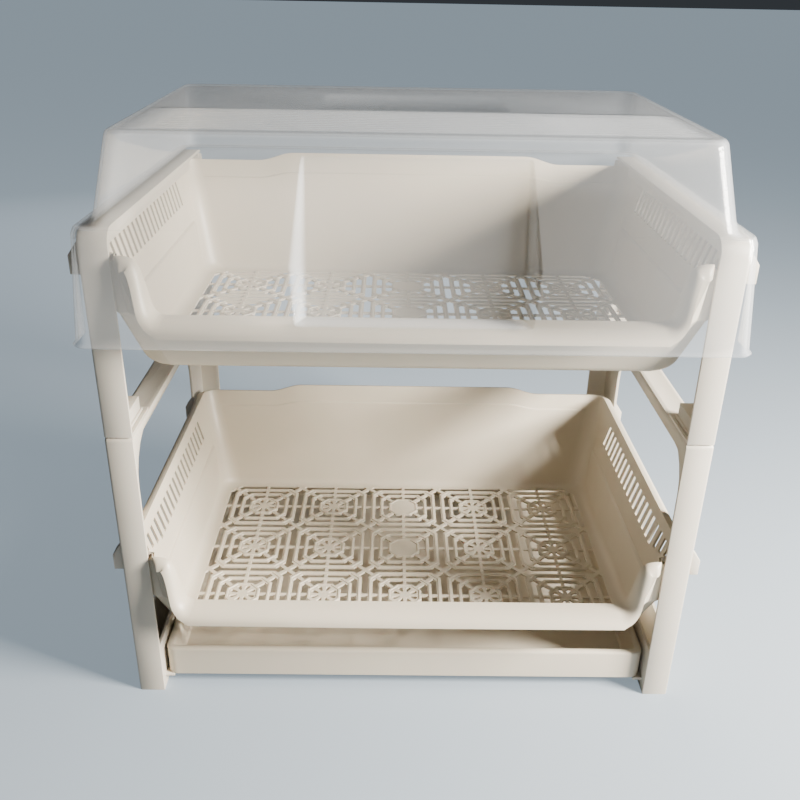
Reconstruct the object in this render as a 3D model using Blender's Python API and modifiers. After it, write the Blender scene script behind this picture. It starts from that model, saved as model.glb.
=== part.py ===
"""Two-tier dish rack: four side frames, two pinned trays, a sliding drip tray and a lift-off cover.

Metres, +Z up. The floor is z = 0, the rack is centred on x = 0 and its front faces -Y.
"""
import math

import bmesh
import bpy
from mathutils import Matrix, Vector

# Whole rack
RACK_WIDTH = 0.470
FRAME_DEPTH = 0.330
FIT_GAP = 0.0003
OVERRUN = 0.004
MERGE_DISTANCE = FIT_GAP / 10
ARC_STEPS = 5
FLAT_ANGLE = math.radians(1)
SMOOTH_ANGLE = math.radians(35)

# Side frames
FRAME_WALL = 0.0025
LEG_FACE = 0.022
LEG_DEPTH = 0.050
LOWER_FRAME_HEIGHT = 0.253
RAIL_DEPTH = 0.040
RAIL_CORNER = 0.013
JOINT_CORNER = 0.004
EDGE_ROUND = 0.0024
EDGE_STEPS = 2
EDGE_CORNER_SHARE = 0.8
LOWER_LIP = 0.006
UPPER_LIP = 0.0105
BACK_LIP_CLEARANCE = 0.012
LOWER_GUSSET_RADIUS = 0.038
UPPER_GUSSET_RADIUS = 0.008
ARCH_RADIUS = 0.030
RUNNER_HEIGHT = 0.048
FOOT_RELIEF = 0.003
LEDGE_WIDTH = 0.008
LEDGE_TOP = 0.0117
LEDGE_THICKNESS = 0.0025
LEDGE_SETBACK = 0.008

# Connector plugs between a lower and an upper leg
PLUG_REACH = 0.016
PLUG_WEB_GAP = 0.0022
PLUG_PLATE_GAP = 0.0018
PLUG_SETBACK = 0.008
COLLAR_LEDGE = 0.0016
COLLAR_THICKNESS = 0.0025

# Trays
TRAY_WALL = 0.002
TRAY_RUNNER_GAP = 0.0015
TRAY_RAIL_GAP = 0.0012
TRAY_SIDE_PLAY = 0.0035
FLANGE_WIDTH = 0.007
FLANGE_DROP = 0.003
BACK_FLANGE_WIDTH = 0.005
SIDE_HEIGHT = 0.1065
SIDE_LEAN = 0.017
FRONT_HEIGHT = 0.049
FRONT_LEAN = 0.025
SHOULDER_DROP = 0.0145
CURVE_WIDTH = 0.032
LEG_SIDE_GAP = 0.0035
LEG_BACK_GAP = 0.001
LIP_REACH = 0.020
LIP_DROP = 0.012
FRONT_CORNER_DEPTH = 0.010
BACK_LEG_OVERLAP = 0.017
BACK_LEAN = 0.025
BACK_END_DROP = 0.002
BACK_CREST_RISE = 0.0055
CREST_MARGIN = 0.107
CREST_SLOPE_WIDTH = 0.035
SIDE_FILLET = 0.011
FRONT_FILLET = 0.0049
BACK_FILLET = 0.0065
FLOOR_CORNER = 0.022
TOP_CORNER = 0.014

# Shape of the swept-up ends of a tray's front: across, up and how far the lip stands forward there
CURVE_SHARES = (
    (0.00, 0.00, 1.00),
    (0.15, 0.03, 0.92),
    (0.29, 0.12, 0.78),
    (0.37, 0.33, 0.66),
    (0.44, 0.58, 0.55),
    (0.52, 0.80, 0.47),
    (0.63, 0.94, 0.40),
    (0.80, 0.99, 0.35),
    (1.00, 1.00, 0.33),
)
# Corner behind a front leg: across from the lip's end, back from the leg, up to the side's height,
# and how far the flange stands out and forward
FRONT_CORNER_SHARES = (
    (0.07, 0.00, 0.00, 0.12, 0.00),
    (0.70, 0.00, 0.22, 0.40, 0.20),
    (1.00, 0.35, 0.62, 0.85, 0.25),
    (1.00, 1.00, 1.00, 1.00, 0.00),
)
# Section of a rolled lip or flange: how far out and how far down of its full reach and drop
ROLL_SHARES = ((0.45, 0.10), (0.86, 0.45), (1.00, 1.00))
FILLET_SHARES = (1 / 3, 2 / 3)
SLOPE_SHARES = (0, 1 / 3, 2 / 3, 1)
MID_HEIGHT_SHARE = 0.55

# Openings in a tray
CELLS_ACROSS = 5
CELLS_DEEP = 3
PATTERN_GAP = 0.00075
SLOT_WIDTH = 0.0055
BORDER_SLOT_SHARE = 0.68
RING_PLACE_SHARE = 0.37
RING_SLOT_SHARE = 0.56
SIDE_SLOTS = 20
SIDE_SLOT_WIDTH = 0.0050
SIDE_SLOT_LENGTH = 0.024
SIDE_SLOT_RIM_MARGIN = 0.0115
SIDE_SLOT_SLANT = 0.006
SIDE_SLOT_FRONT_MARGIN = 0.020
SIDE_SLOT_BACK_MARGIN = 0.058

# Locking pins that hold a tray between the legs
PIN_BELOW_RIM = 0.023
PIN_SETBACK = 0.010
PIN_BACK_INSET = 0.009
PIN_HEAD_WIDTH = 0.012
PIN_HEAD_REACH = 0.008
PIN_HEAD_BELOW = 0.007
PIN_HEAD_ABOVE = 0.007
PIN_RAMP_ABOVE = 0.0175
PIN_SHANK_WIDTH = 0.007
PIN_SHANK_HEIGHT = 0.009
PIN_TIP_REACH = 0.0075
BOSS_WALL = 0.0034
BOSS_HOLE_END = 0.001

# Drip tray
DRIP_SIDE_GAP = 0.002
DRIP_FRONT_SETBACK = 0.008
DRIP_BACK_SETBACK = 0.015
DRIP_HEIGHT = 0.028
DRIP_RIM = 0.0065
DRIP_WALL = 0.0018
DRIP_FLOOR_LIFT = 0.002
DRIP_CORNER = 0.009
DRIP_ROUND = 0.0015
DRIP_WALL_LEAN = 0.0015

# Cover
COVER_WALL = 0.0018
COVER_RISE = 0.065
COVER_SKIRT_DROP = 0.076
COVER_LIP_CLEARANCE = 0.006
COVER_BACK_OVERHANG = 0.010
COVER_LIP = 0.002
COVER_LIP_HEIGHT = 0.002
COVER_FRONT_LEAN = 0.032
COVER_BACK_LEAN = 0.012
COVER_SHOULDER_WIDTH = 0.0135
COVER_SHOULDER_HEIGHT = 0.010
COVER_SIDE_LEAN_FRONT = 0.0105
COVER_SIDE_LEAN_BACK = 0.003
COVER_SKIRT_GAP = 0.0005
COVER_SKIRT_FLARE = 0.0015
COVER_BACK_FLARE = 0.0025
COVER_TOP_ROUND = 0.008
COVER_UPPER_CORNER = 0.014
COVER_LOWER_CORNER = 0.010
NOTCH_SIDE_GAP = 0.002
NOTCH_TOP_GAP = 0.0015
SCOOP_TOP_MARGIN = 0.015
SCOOP_BOTTOM_MARGIN = 0.018
SCOOP_WIDEST_RISE = 0.038
SCOOP_DEPTH = 0.015
SCOOP_FLOOR_HALF = 0.0755
SCOOP_EDGE_TOP = 0.078
SCOOP_EDGE_WIDEST = 0.088
SCOOP_EDGE_BOTTOM = 0.084
SCOOP_SHELF = 0.001

# Shoulder that rests on the rails: how far out towards the skirt, and how much of its height is left
SHOULDER_SHARES = ((0.18, 0.20), (0.50, 0.01), (0.86, -0.02), (1.0, -0.48))
TOP_ROUND_SHARES = (0.0, 0.5, 1.0)

# Places worked out from the sizes above
HALF_WIDTH = RACK_WIDTH / 2
LEG_INSIDE = HALF_WIDTH - LEG_FACE
WEB_INSIDE = HALF_WIDTH - FRAME_WALL
COVER_FRONT_OVERHANG = LIP_REACH + COVER_LIP_CLEARANCE
LEG_FRONT = (COVER_FRONT_OVERHANG - FRAME_DEPTH - COVER_BACK_OVERHANG) / 2
LEG_BACK = LEG_FRONT + FRAME_DEPTH
PLUG_WIDTH = LEG_FACE - 2 * FRAME_WALL - PLUG_WEB_GAP - PLUG_PLATE_GAP
PLUG_DEPTH = LEG_DEPTH - 2 * PLUG_SETBACK
LOWER_TRAY_FLOOR = RUNNER_HEIGHT + TRAY_RUNNER_GAP + TRAY_WALL
UPPER_FRAME_BASE = LOWER_FRAME_HEIGHT + FIT_GAP
UPPER_TRAY_FLOOR = UPPER_FRAME_BASE + LOWER_TRAY_FLOOR
UPPER_FRAME_HEIGHT = LOWER_TRAY_FLOOR + SIDE_HEIGHT + TRAY_RAIL_GAP + FRAME_WALL
RAIL_TOP = UPPER_FRAME_BASE + UPPER_FRAME_HEIGHT
SHOULDER_HEIGHT = SIDE_HEIGHT - SHOULDER_DROP
BACK_END_HEIGHT = SIDE_HEIGHT - BACK_END_DROP
BACK_CREST_HEIGHT = SIDE_HEIGHT + BACK_CREST_RISE
SIDE_SLOT_TOP = SIDE_HEIGHT - SIDE_SLOT_RIM_MARGIN
SIDE_SLOT_BOTTOM = SIDE_SLOT_TOP - SIDE_SLOT_LENGTH
PIN_HEIGHT = SIDE_HEIGHT - PIN_BELOW_RIM
TRAY_TOP_HALF = WEB_INSIDE - TRAY_SIDE_PLAY - FLANGE_WIDTH
TRAY_FLOOR_HALF = TRAY_TOP_HALF - SIDE_LEAN
CREST_HALF_WIDTH = TRAY_TOP_HALF - CREST_MARGIN
TRAY_RIM_FRONT = LEG_FRONT
TRAY_FLOOR_FRONT = TRAY_RIM_FRONT + FRONT_LEAN
TRAY_TOP_BACK = LEG_BACK - LEG_DEPTH + BACK_LEG_OVERLAP
TRAY_FLOOR_BACK = TRAY_TOP_BACK - BACK_LEAN
CURVE_END = LEG_INSIDE - LEG_SIDE_GAP
CURVE_START = CURVE_END - CURVE_WIDTH
COVER_TOP = RAIL_TOP + COVER_RISE
COVER_BOTTOM = RAIL_TOP - COVER_SKIRT_DROP
SCOOP_TOP = COVER_TOP - SCOOP_TOP_MARGIN
SCOOP_BOTTOM = COVER_BOTTOM + SCOOP_BOTTOM_MARGIN
SCOOP_WIDEST = SCOOP_BOTTOM + SCOOP_WIDEST_RISE
PIN_PLACES = (LEG_FRONT + PIN_SETBACK, TRAY_TOP_BACK - PIN_BACK_INSET)
ENDS = ("front", "rear")
SIDES = {"left": -1, "right": 1}
TIERS = {"lower": LOWER_TRAY_FLOOR, "upper": UPPER_TRAY_FLOOR}

# Colours, roughness and how much light the cover stops
CREAM = (0.70, 0.64, 0.55)
DEEP_CREAM = (0.66, 0.60, 0.51)
MILKY = (0.80, 0.84, 0.88)
FRAME_ROUGHNESS = 0.42
TRAY_ROUGHNESS = 0.45
COVER_ROUGHNESS = 0.18
COVER_ALPHA = 0.35


def clear_objects():
    for thing in list(bpy.data.objects):
        bpy.data.objects.remove(thing, do_unlink=True)


def collection(name):
    group = bpy.data.collections.new(name)
    bpy.context.scene.collection.children.link(group)
    return group


def plastic(name, colour, roughness, alpha=1.0):
    material = bpy.data.materials.new(name)
    material.use_nodes = True
    shader = material.node_tree.nodes["Principled BSDF"]
    shader.inputs["Base Color"].default_value = (*colour, 1.0)
    shader.inputs["Roughness"].default_value = roughness
    shader.inputs["Metallic"].default_value = 0.0
    shader.inputs["Alpha"].default_value = alpha
    return material


def add_object(name, mesh, group, material=None):
    thing = bpy.data.objects.new(name, mesh)
    group.objects.link(thing)
    if material:
        mesh.materials.clear()
        mesh.materials.append(material)
    return thing


def helper(thing):
    """Mark an object that only shapes another one."""
    thing.hide_render = True
    thing.display_type = "WIRE"
    return thing


def baked_mesh(thing, name):
    """The object's mesh with its modifiers applied; the object is removed."""
    bpy.context.view_layer.update()
    evaluated = thing.evaluated_get(bpy.context.evaluated_depsgraph_get())
    mesh = bpy.data.meshes.new_from_object(evaluated)
    mesh.transform(thing.matrix_world)
    mesh.name = name
    bpy.data.objects.remove(thing, do_unlink=True)
    return mesh


def span(low, high, side=1):
    """A stretch along X on the right side, or its mirror on the left, lowest first."""
    return (low, high) if side > 0 else (-high, -low)


def box_mesh(name, boxes):
    """One mesh of separate boxes, each given by its ranges along X, Y and Z."""
    shape = bmesh.new()
    for ranges in boxes:
        centre = Vector([(low + high) / 2 for low, high in ranges])
        size = Vector([high - low for low, high in ranges])
        place = Matrix.Translation(centre) @ Matrix.Diagonal(size.to_4d())
        bmesh.ops.create_cube(shape, size=1, matrix=place)
    mesh = bpy.data.meshes.new(name)
    shape.to_mesh(mesh)
    shape.free()
    return mesh


def arc(centre, radius, start, end, steps=ARC_STEPS):
    """Points of a round stretch between two angles in degrees."""
    angles = [math.radians(start + (end - start) * step / steps) for step in range(steps + 1)]
    return [(centre[0] + radius * math.cos(a), centre[1] + radius * math.sin(a)) for a in angles]


def rounded_outline(left, right, bottom, top, bottom_radius=0.0, top_radius=0.0):
    """A rectangle's outline, anticlockwise, with round corners where a radius is given."""
    corners = ((right, bottom, -1, 1, bottom_radius, -90), (right, top, -1, -1, top_radius, 0),
               (left, top, 1, -1, top_radius, 90), (left, bottom, 1, 1, bottom_radius, 180))
    outline = []
    for across, up, inward, upward, radius, start in corners:
        if radius:
            centre = (across + inward * radius, up + upward * radius)
            outline += arc(centre, radius, start, start + 90)
        else:
            outline.append((across, up))
    return outline


def prism(name, outline, low, high, axes, group):
    """A flat outline drawn as a filled curve and extruded from low to high along its normal."""
    curve = bpy.data.curves.new(name, "CURVE")
    curve.dimensions = "2D"
    curve.fill_mode = "BOTH"
    curve.extrude = (high - low) / 2
    line = curve.splines.new("POLY")
    line.points.add(len(outline) - 1)
    for point, (across, up) in zip(line.points, outline):
        point.co = (across, up, 0.0, 1.0)
    line.use_cyclic_u = True
    thing = bpy.data.objects.new(name, curve)
    group.objects.link(thing)
    thing.matrix_world = axes @ Matrix.Translation((0.0, 0.0, (low + high) / 2))
    mesh = baked_mesh(thing, name)
    shape = bmesh.new()
    shape.from_mesh(mesh)
    bmesh.ops.remove_doubles(shape, verts=shape.verts, dist=MERGE_DISTANCE)
    bmesh.ops.dissolve_limit(shape, angle_limit=FLAT_ANGLE, verts=shape.verts, edges=shape.edges)
    bmesh.ops.recalc_face_normals(shape, faces=shape.faces)
    shape.to_mesh(mesh)
    shape.free()
    return mesh


# An outline in Y and Z extruded along X, and one in X and Z extruded along Y
ALONG_X = Matrix(((0, 0, 1, 0), (1, 0, 0, 0), (0, 1, 0, 0), (0, 0, 0, 1)))
ALONG_Y = Matrix(((1, 0, 0, 0), (0, 0, -1, 0), (0, 1, 0, 0), (0, 0, 0, 1)))


def combine(thing, mesh, operation, group):
    """Cut a mesh out of an object, or join it on, with a Boolean modifier."""
    tool = helper(add_object(f"{mesh.name}_tool", mesh, group))
    modifier = thing.modifiers.new(mesh.name, "BOOLEAN")
    modifier.object = tool
    modifier.operation = operation
    modifier.solver = "EXACT"


def round_outer_edges(mesh, corner):
    """Round the edges where a frame's outer side meets its front, top and back."""
    radius = min(EDGE_ROUND, corner * EDGE_CORNER_SHARE)
    shape = bmesh.new()
    shape.from_mesh(mesh)
    foot = min(vertex.co.z for vertex in shape.verts) + FIT_GAP
    edges = [edge for edge in shape.edges
             if all(abs(abs(vertex.co.x) - HALF_WIDTH) < FIT_GAP for vertex in edge.verts)
             and any(vertex.co.z > foot for vertex in edge.verts)]
    bmesh.ops.bevel(shape, geom=edges, offset=radius, segments=EDGE_STEPS, profile=0.5, affect="EDGES")
    shape.to_mesh(mesh)
    shape.free()
    return mesh


def side_frame(name, side, base, height, parts, cutters, material):
    """One side frame: two L-shaped legs and a channel-shaped top rail, and a bottom runner on a lower one."""
    top = base + height
    lower = base == 0
    lip = LOWER_LIP if lower else UPPER_LIP
    gusset = LOWER_GUSSET_RADIUS if lower else UPPER_GUSSET_RADIUS
    corner = JOINT_CORNER if lower else RAIL_CORNER
    block = rounded_outline(LEG_FRONT, LEG_BACK, base, top, 0.0, corner)
    blank = prism(name, block, *span(LEG_INSIDE, HALF_WIDTH, side), ALONG_X, parts)
    thing = add_object(name, round_outer_edges(blank, corner), parts, material)

    cavity_floor = base + FRAME_WALL + (FOOT_RELIEF if lower else 0.0)
    hollow_front = LEG_FRONT + FRAME_WALL
    hollow_back = LEG_BACK - FRAME_WALL
    cavity = rounded_outline(hollow_front, hollow_back, cavity_floor, top - FRAME_WALL,
                             0.0, max(corner - FRAME_WALL, 0.0))
    plate_inside = LEG_INSIDE + FRAME_WALL
    combine(thing, prism(f"{name}_cavity", cavity, *span(plate_inside, WEB_INSIDE, side), ALONG_X, cutters),
            "DIFFERENCE", cutters)

    window_floor = RUNNER_HEIGHT if lower else cavity_floor
    window = rounded_outline(hollow_front, hollow_back, window_floor, top - lip, 0.0, gusset)
    window_depth = span(LEG_INSIDE - OVERRUN, plate_inside + OVERRUN, side)
    combine(thing, prism(f"{name}_window", window, *window_depth, ALONG_X, cutters), "DIFFERENCE", cutters)

    arch_floor = RUNNER_HEIGHT if lower else base - OVERRUN
    arch = rounded_outline(LEG_FRONT + LEG_DEPTH, LEG_BACK - LEG_DEPTH, arch_floor, top - RAIL_DEPTH,
                           0.0, ARCH_RADIUS)
    arch_depth = span(LEG_INSIDE - OVERRUN, HALF_WIDTH + OVERRUN, side)
    combine(thing, prism(f"{name}_arch", arch, *arch_depth, ALONG_X, cutters), "DIFFERENCE", cutters)

    floor_height = LOWER_TRAY_FLOOR if lower else UPPER_TRAY_FLOOR
    holes = [pin_passage(side, place, floor_height) for place in PIN_PLACES]
    plate = (top - FRAME_WALL - OVERRUN, top + OVERRUN) if lower else (base - OVERRUN, cavity_floor + OVERRUN)
    holes += [plug_ranges(side, end, plate, FIT_GAP) for end in ENDS]
    if lower:
        holes.append((arch_depth, (LEG_FRONT + LEG_DEPTH, LEG_BACK - LEG_DEPTH), (-OVERRUN, FOOT_RELIEF)))
    else:
        behind = TRAY_TOP_BACK - TOP_CORNER - BACK_LIP_CLEARANCE
        holes.append((span(LEG_INSIDE - OVERRUN, plate_inside + FIT_GAP, side),
                      (behind, hollow_back - FIT_GAP), (cavity_floor + FIT_GAP, top - FRAME_WALL - FIT_GAP)))
    combine(thing, box_mesh(f"{name}_holes", holes), "DIFFERENCE", cutters)
    if lower:
        ledge = (span(LEG_INSIDE - LEDGE_WIDTH, plate_inside - FRAME_WALL / 2, side),
                 (LEG_FRONT + LEDGE_SETBACK, LEG_BACK - LEDGE_SETBACK),
                 (LEDGE_TOP - LEDGE_THICKNESS, LEDGE_TOP))
        combine(thing, box_mesh(f"{name}_ledge", [ledge]), "UNION", cutters)
    return thing


def plug_ranges(side, end, heights, play=0.0):
    """The space of a connector plug in a leg, with play around it."""
    outer = WEB_INSIDE - PLUG_WEB_GAP
    if end == "front":
        start = LEG_FRONT + PLUG_SETBACK
    else:
        start = LEG_BACK - PLUG_SETBACK - PLUG_DEPTH
    return (span(outer - PLUG_WIDTH - play, outer + play, side),
            (start - play, start + PLUG_DEPTH + play), heights)


def connector_plug(name, side, end, parts, cutters, material):
    """A plug that joins a lower leg to an upper leg, with a collar that lies on the upper leg's foot."""
    collar_base = UPPER_FRAME_BASE + FRAME_WALL + FIT_GAP
    heights = (LOWER_FRAME_HEIGHT - PLUG_REACH, UPPER_FRAME_BASE + PLUG_REACH)
    thing = add_object(name, box_mesh(name, [plug_ranges(side, end, heights)]), parts, material)
    collar = plug_ranges(side, end, (collar_base, collar_base + COLLAR_THICKNESS), COLLAR_LEDGE)
    combine(thing, box_mesh(f"{name}_collar", [collar]), "UNION", cutters)
    return thing


def pin_passage(side, place, floor_height):
    """The opening that a locking pin's shank passes through in a leg's web."""
    middle = floor_height + PIN_HEIGHT
    half_width = PIN_SHANK_WIDTH / 2 + FIT_GAP
    half_height = PIN_SHANK_HEIGHT / 2 + FIT_GAP
    return (span(WEB_INSIDE - FIT_GAP, HALF_WIDTH + OVERRUN, side),
            (place - half_width, place + half_width), (middle - half_height, middle + half_height))


def locking_pin(name, side, place, floor_height, parts, cutters, material):
    """A pin pushed in from outside: a shank through the leg's web and a head with a sloping top."""
    middle = floor_height + PIN_HEIGHT
    head_in = HALF_WIDTH + FIT_GAP
    head_out = HALF_WIDTH + PIN_HEAD_REACH
    head = [(head_in, middle - PIN_HEAD_BELOW), (head_out, middle - PIN_HEAD_BELOW),
            (head_out, middle + PIN_HEAD_ABOVE), (head_in, middle + PIN_RAMP_ABOVE)]
    head = [(side * across, up) for across, up in head][::side]
    reach = (-place - PIN_HEAD_WIDTH / 2, -place + PIN_HEAD_WIDTH / 2)
    thing = add_object(name, prism(name, head, *reach, ALONG_Y, parts), parts, material)
    shank = (span(WEB_INSIDE - PIN_TIP_REACH, head_in + FIT_GAP, side),
             (place - PIN_SHANK_WIDTH / 2, place + PIN_SHANK_WIDTH / 2),
             (middle - PIN_SHANK_HEIGHT / 2, middle + PIN_SHANK_HEIGHT / 2))
    combine(thing, box_mesh(f"{name}_shank", [shank]), "UNION", cutters)
    return thing


def shell(name, columns, thickness, group):
    """A shell from half its surface: the columns run from the front's middle round to the back's middle,
    each from the flat floor or top outwards. The surface is mirrored at x = 0 and thickened away from
    its lit side."""
    shape = bmesh.new()
    rows = [[shape.verts.new(point) for point in column] for column in columns]
    shape.faces.new([column[0] for column in rows])
    for here, following in zip(rows, rows[1:]):
        for step in range(len(here) - 1):
            shape.faces.new((here[step], here[step + 1], following[step + 1], following[step]))
    mesh = bpy.data.meshes.new(name)
    shape.to_mesh(mesh)
    shape.free()
    thing = add_object(name, mesh, group)
    mirror = thing.modifiers.new("Mirror", "MIRROR")
    mirror.use_clip = True
    mirror.merge_threshold = MERGE_DISTANCE
    solid = thing.modifiers.new("Solidify", "SOLIDIFY")
    solid.thickness = thickness
    solid.offset = -1.0
    solid.use_even_offset = True
    return thing


def blend(low, high, share):
    return low + (high - low) * share


def tray_column(floor_point, fillet, inward, mid, top, reach, drop):
    """One upright section of a tray's wall: floor fillet, wall, rim, and rolled lip or flange."""
    foot = Vector((*floor_point, 0.0))
    rise = (Vector(mid) - foot).normalized()
    start = foot + Vector((*inward, 0.0)) * fillet
    end = foot + rise * fillet
    points = [start]
    for share in FILLET_SHARES:
        points.append(start.lerp(foot, share).lerp(foot.lerp(end, share), share))
    points += [end, Vector(mid), Vector(top)]
    points += [Vector(top) + reach * out + drop * down for out, down in ROLL_SHARES]
    return points


def wall_line_x(height):
    """How far from the middle a tray's side wall stands at a height above the floor."""
    return TRAY_FLOOR_HALF + SIDE_LEAN * height / SIDE_HEIGHT


def front_columns():
    """The straight front of a tray and its swept-up ends."""
    floor_end = TRAY_FLOOR_HALF - FLOOR_CORNER
    rise = SHOULDER_HEIGHT - FRONT_HEIGHT
    rim = [(CURVE_START + across * CURVE_WIDTH, FRONT_HEIGHT + up * rise) for across, up, out in CURVE_SHARES]
    columns = [tray_column((0.0, TRAY_FLOOR_FRONT), FRONT_FILLET, (0, 1),
                           (0.0, blend(TRAY_FLOOR_FRONT, TRAY_RIM_FRONT, MID_HEIGHT_SHARE),
                            FRONT_HEIGHT * MID_HEIGHT_SHARE),
                           (0.0, TRAY_RIM_FRONT, FRONT_HEIGHT),
                           Vector((0.0, -LIP_REACH, 0.0)), Vector((0.0, 0.0, -LIP_DROP)))]
    for index, (across, up) in enumerate(rim):
        before = rim[max(index - 1, 0)]
        after = rim[min(index + 1, len(rim) - 1)]
        along = Vector((after[0] - before[0], after[1] - before[1])).normalized()
        share = index / (len(rim) - 1)
        floor_x = blend(blend(CURVE_START, floor_end, 0.5), floor_end, share)
        mid_height = min(FRONT_HEIGHT, up * MID_HEIGHT_SHARE)
        mid_y = blend(TRAY_FLOOR_FRONT, TRAY_RIM_FRONT, mid_height / FRONT_HEIGHT)
        mid_x = blend(floor_x, across, MID_HEIGHT_SHARE)
        columns.append(tray_column((floor_x, TRAY_FLOOR_FRONT), FRONT_FILLET, (0, 1),
                                   (mid_x, mid_y, mid_height), (across, TRAY_RIM_FRONT, up),
                                   Vector((0.0, -LIP_REACH * CURVE_SHARES[index][2], 0.0)),
                                   Vector((along[1], 0.0, -along[0])) * LIP_DROP))
    return columns


def front_corner_columns():
    """The corner behind a front leg, where the wall steps out past the leg's inner edge."""
    skin_front = LEG_FRONT + FRAME_WALL + LEG_BACK_GAP + TRAY_WALL
    centre = (TRAY_FLOOR_HALF - FLOOR_CORNER, TRAY_FLOOR_FRONT + FLOOR_CORNER)
    columns = []
    for index, (across, back, up, out, forward) in enumerate(FRONT_CORNER_SHARES):
        share = (index + 1) / len(FRONT_CORNER_SHARES)
        angle = math.radians(90 * share - 90)
        turn = (math.cos(angle), math.sin(angle))
        floor_point = (centre[0] + FLOOR_CORNER * turn[0], centre[1] + FLOOR_CORNER * turn[1])
        top_x = blend(CURVE_END, TRAY_TOP_HALF, across)
        top_y = skin_front + FRONT_CORNER_DEPTH * back
        top_z = blend(SHOULDER_HEIGHT, SIDE_HEIGHT, up)
        mid_x = min(blend(floor_point[0], top_x, MID_HEIGHT_SHARE), wall_line_x(FRONT_HEIGHT))
        mid_x = blend(mid_x, wall_line_x(FRONT_HEIGHT), share)
        columns.append(tray_column(floor_point, blend(FRONT_FILLET, SIDE_FILLET, share),
                                   (-turn[0], -turn[1]), (mid_x, top_y, FRONT_HEIGHT), (top_x, top_y, top_z),
                                   Vector((FLANGE_WIDTH * out, -FLANGE_WIDTH * forward, 0.0)),
                                   Vector((0.0, 0.0, -FLANGE_DROP))))
    return columns


def back_columns():
    """The rear corner of a tray and its back wall with a raised crest."""
    columns = []
    mid_half = wall_line_x(FRONT_HEIGHT)
    mid_back = blend(TRAY_FLOOR_BACK, TRAY_TOP_BACK, FRONT_HEIGHT / SIDE_HEIGHT)
    mid_corner = (FLOOR_CORNER + TOP_CORNER) / 2
    for step in range(ARC_STEPS):
        share = step / (ARC_STEPS - 1)
        turn = (math.cos(math.pi / 2 * share), math.sin(math.pi / 2 * share))
        top_z = blend(SIDE_HEIGHT, BACK_END_HEIGHT, share)
        columns.append(tray_column(
            (TRAY_FLOOR_HALF - FLOOR_CORNER * (1 - turn[0]), TRAY_FLOOR_BACK - FLOOR_CORNER * (1 - turn[1])),
            blend(SIDE_FILLET, BACK_FILLET, share), (-turn[0], -turn[1]),
            (mid_half - mid_corner * (1 - turn[0]), mid_back - mid_corner * (1 - turn[1]), FRONT_HEIGHT),
            (TRAY_TOP_HALF - TOP_CORNER * (1 - turn[0]), TRAY_TOP_BACK - TOP_CORNER * (1 - turn[1]), top_z),
            Vector((FLANGE_WIDTH * turn[0], BACK_FLANGE_WIDTH * turn[1], 0.0)),
            Vector((0.0, 0.0, -FLANGE_DROP))))
    slope = [(CREST_HALF_WIDTH + CREST_SLOPE_WIDTH * (1 - share), (1 - math.cos(math.pi * share)) / 2)
             for share in SLOPE_SHARES]
    for across, lift in slope + [(0.0, 1.0)]:
        columns.append(tray_column(
            (across, TRAY_FLOOR_BACK), BACK_FILLET, (0, -1), (across, mid_back, FRONT_HEIGHT),
            (across, TRAY_TOP_BACK, blend(BACK_END_HEIGHT, BACK_CREST_HEIGHT, lift)),
            Vector((0.0, BACK_FLANGE_WIDTH, 0.0)), Vector((0.0, 0.0, -FLANGE_DROP))))
    return columns


def floor_slots():
    """Slots of the floor: lines between the cells and a square ring of four slots in each cell. They stay
    on the flat floor, inside the fillets."""
    left = SIDE_FILLET + PATTERN_GAP - TRAY_FLOOR_HALF + SLOT_WIDTH / 2
    front = TRAY_FLOOR_FRONT + FRONT_FILLET + PATTERN_GAP + SLOT_WIDTH / 2
    back = TRAY_FLOOR_BACK - BACK_FILLET - PATTERN_GAP - SLOT_WIDTH / 2
    cell_x = -2 * left / CELLS_ACROSS
    cell_y = (back - front) / CELLS_DEEP
    depth = (-TRAY_WALL - OVERRUN, OVERRUN)
    slots = []

    def add_slot(across, along, half_x, half_y):
        slots.append(((across - half_x, across + half_x), (along - half_y, along + half_y), depth))

    half_slot = SLOT_WIDTH / 2
    for column in range(CELLS_ACROSS + 1):
        for row in range(CELLS_DEEP):
            add_slot(left + column * cell_x, front + (row + 0.5) * cell_y,
                     half_slot, cell_y * BORDER_SLOT_SHARE / 2)
    for row in range(CELLS_DEEP + 1):
        for column in range(CELLS_ACROSS):
            add_slot(left + (column + 0.5) * cell_x, front + row * cell_y,
                     cell_x * BORDER_SLOT_SHARE / 2, half_slot)
    for column in range(CELLS_ACROSS):
        for row in range(CELLS_DEEP):
            across = left + (column + 0.5) * cell_x
            along = front + (row + 0.5) * cell_y
            for way in (-1, 1):
                add_slot(across + way * cell_x * RING_PLACE_SHARE, along,
                         half_slot, cell_y * RING_SLOT_SHARE / 2)
                add_slot(across, along + way * cell_y * RING_PLACE_SHARE,
                         cell_x * RING_SLOT_SHARE / 2, half_slot)
    return slots


def side_slot_mesh():
    """Slanted bars that cut the row of slots through both side walls at once."""
    middle = (SIDE_SLOT_BOTTOM + SIDE_SLOT_TOP) / 2
    reach = TRAY_TOP_HALF + OVERRUN
    first = LEG_FRONT + SIDE_SLOT_FRONT_MARGIN
    last = TRAY_TOP_BACK - SIDE_SLOT_BACK_MARGIN
    half = SIDE_SLOT_WIDTH / 2
    bars = []
    for index in range(SIDE_SLOTS):
        place = blend(first, last, index / (SIDE_SLOTS - 1))
        bars.append(((-reach, reach), (place - half, place + half), (SIDE_SLOT_BOTTOM, SIDE_SLOT_TOP)))
    mesh = box_mesh("side_slots", bars)
    slant = -SIDE_SLOT_SLANT / (SIDE_SLOT_TOP - SIDE_SLOT_BOTTOM)
    for vertex in mesh.vertices:
        vertex.co.y += slant * (vertex.co.z - middle)
    return mesh


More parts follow.
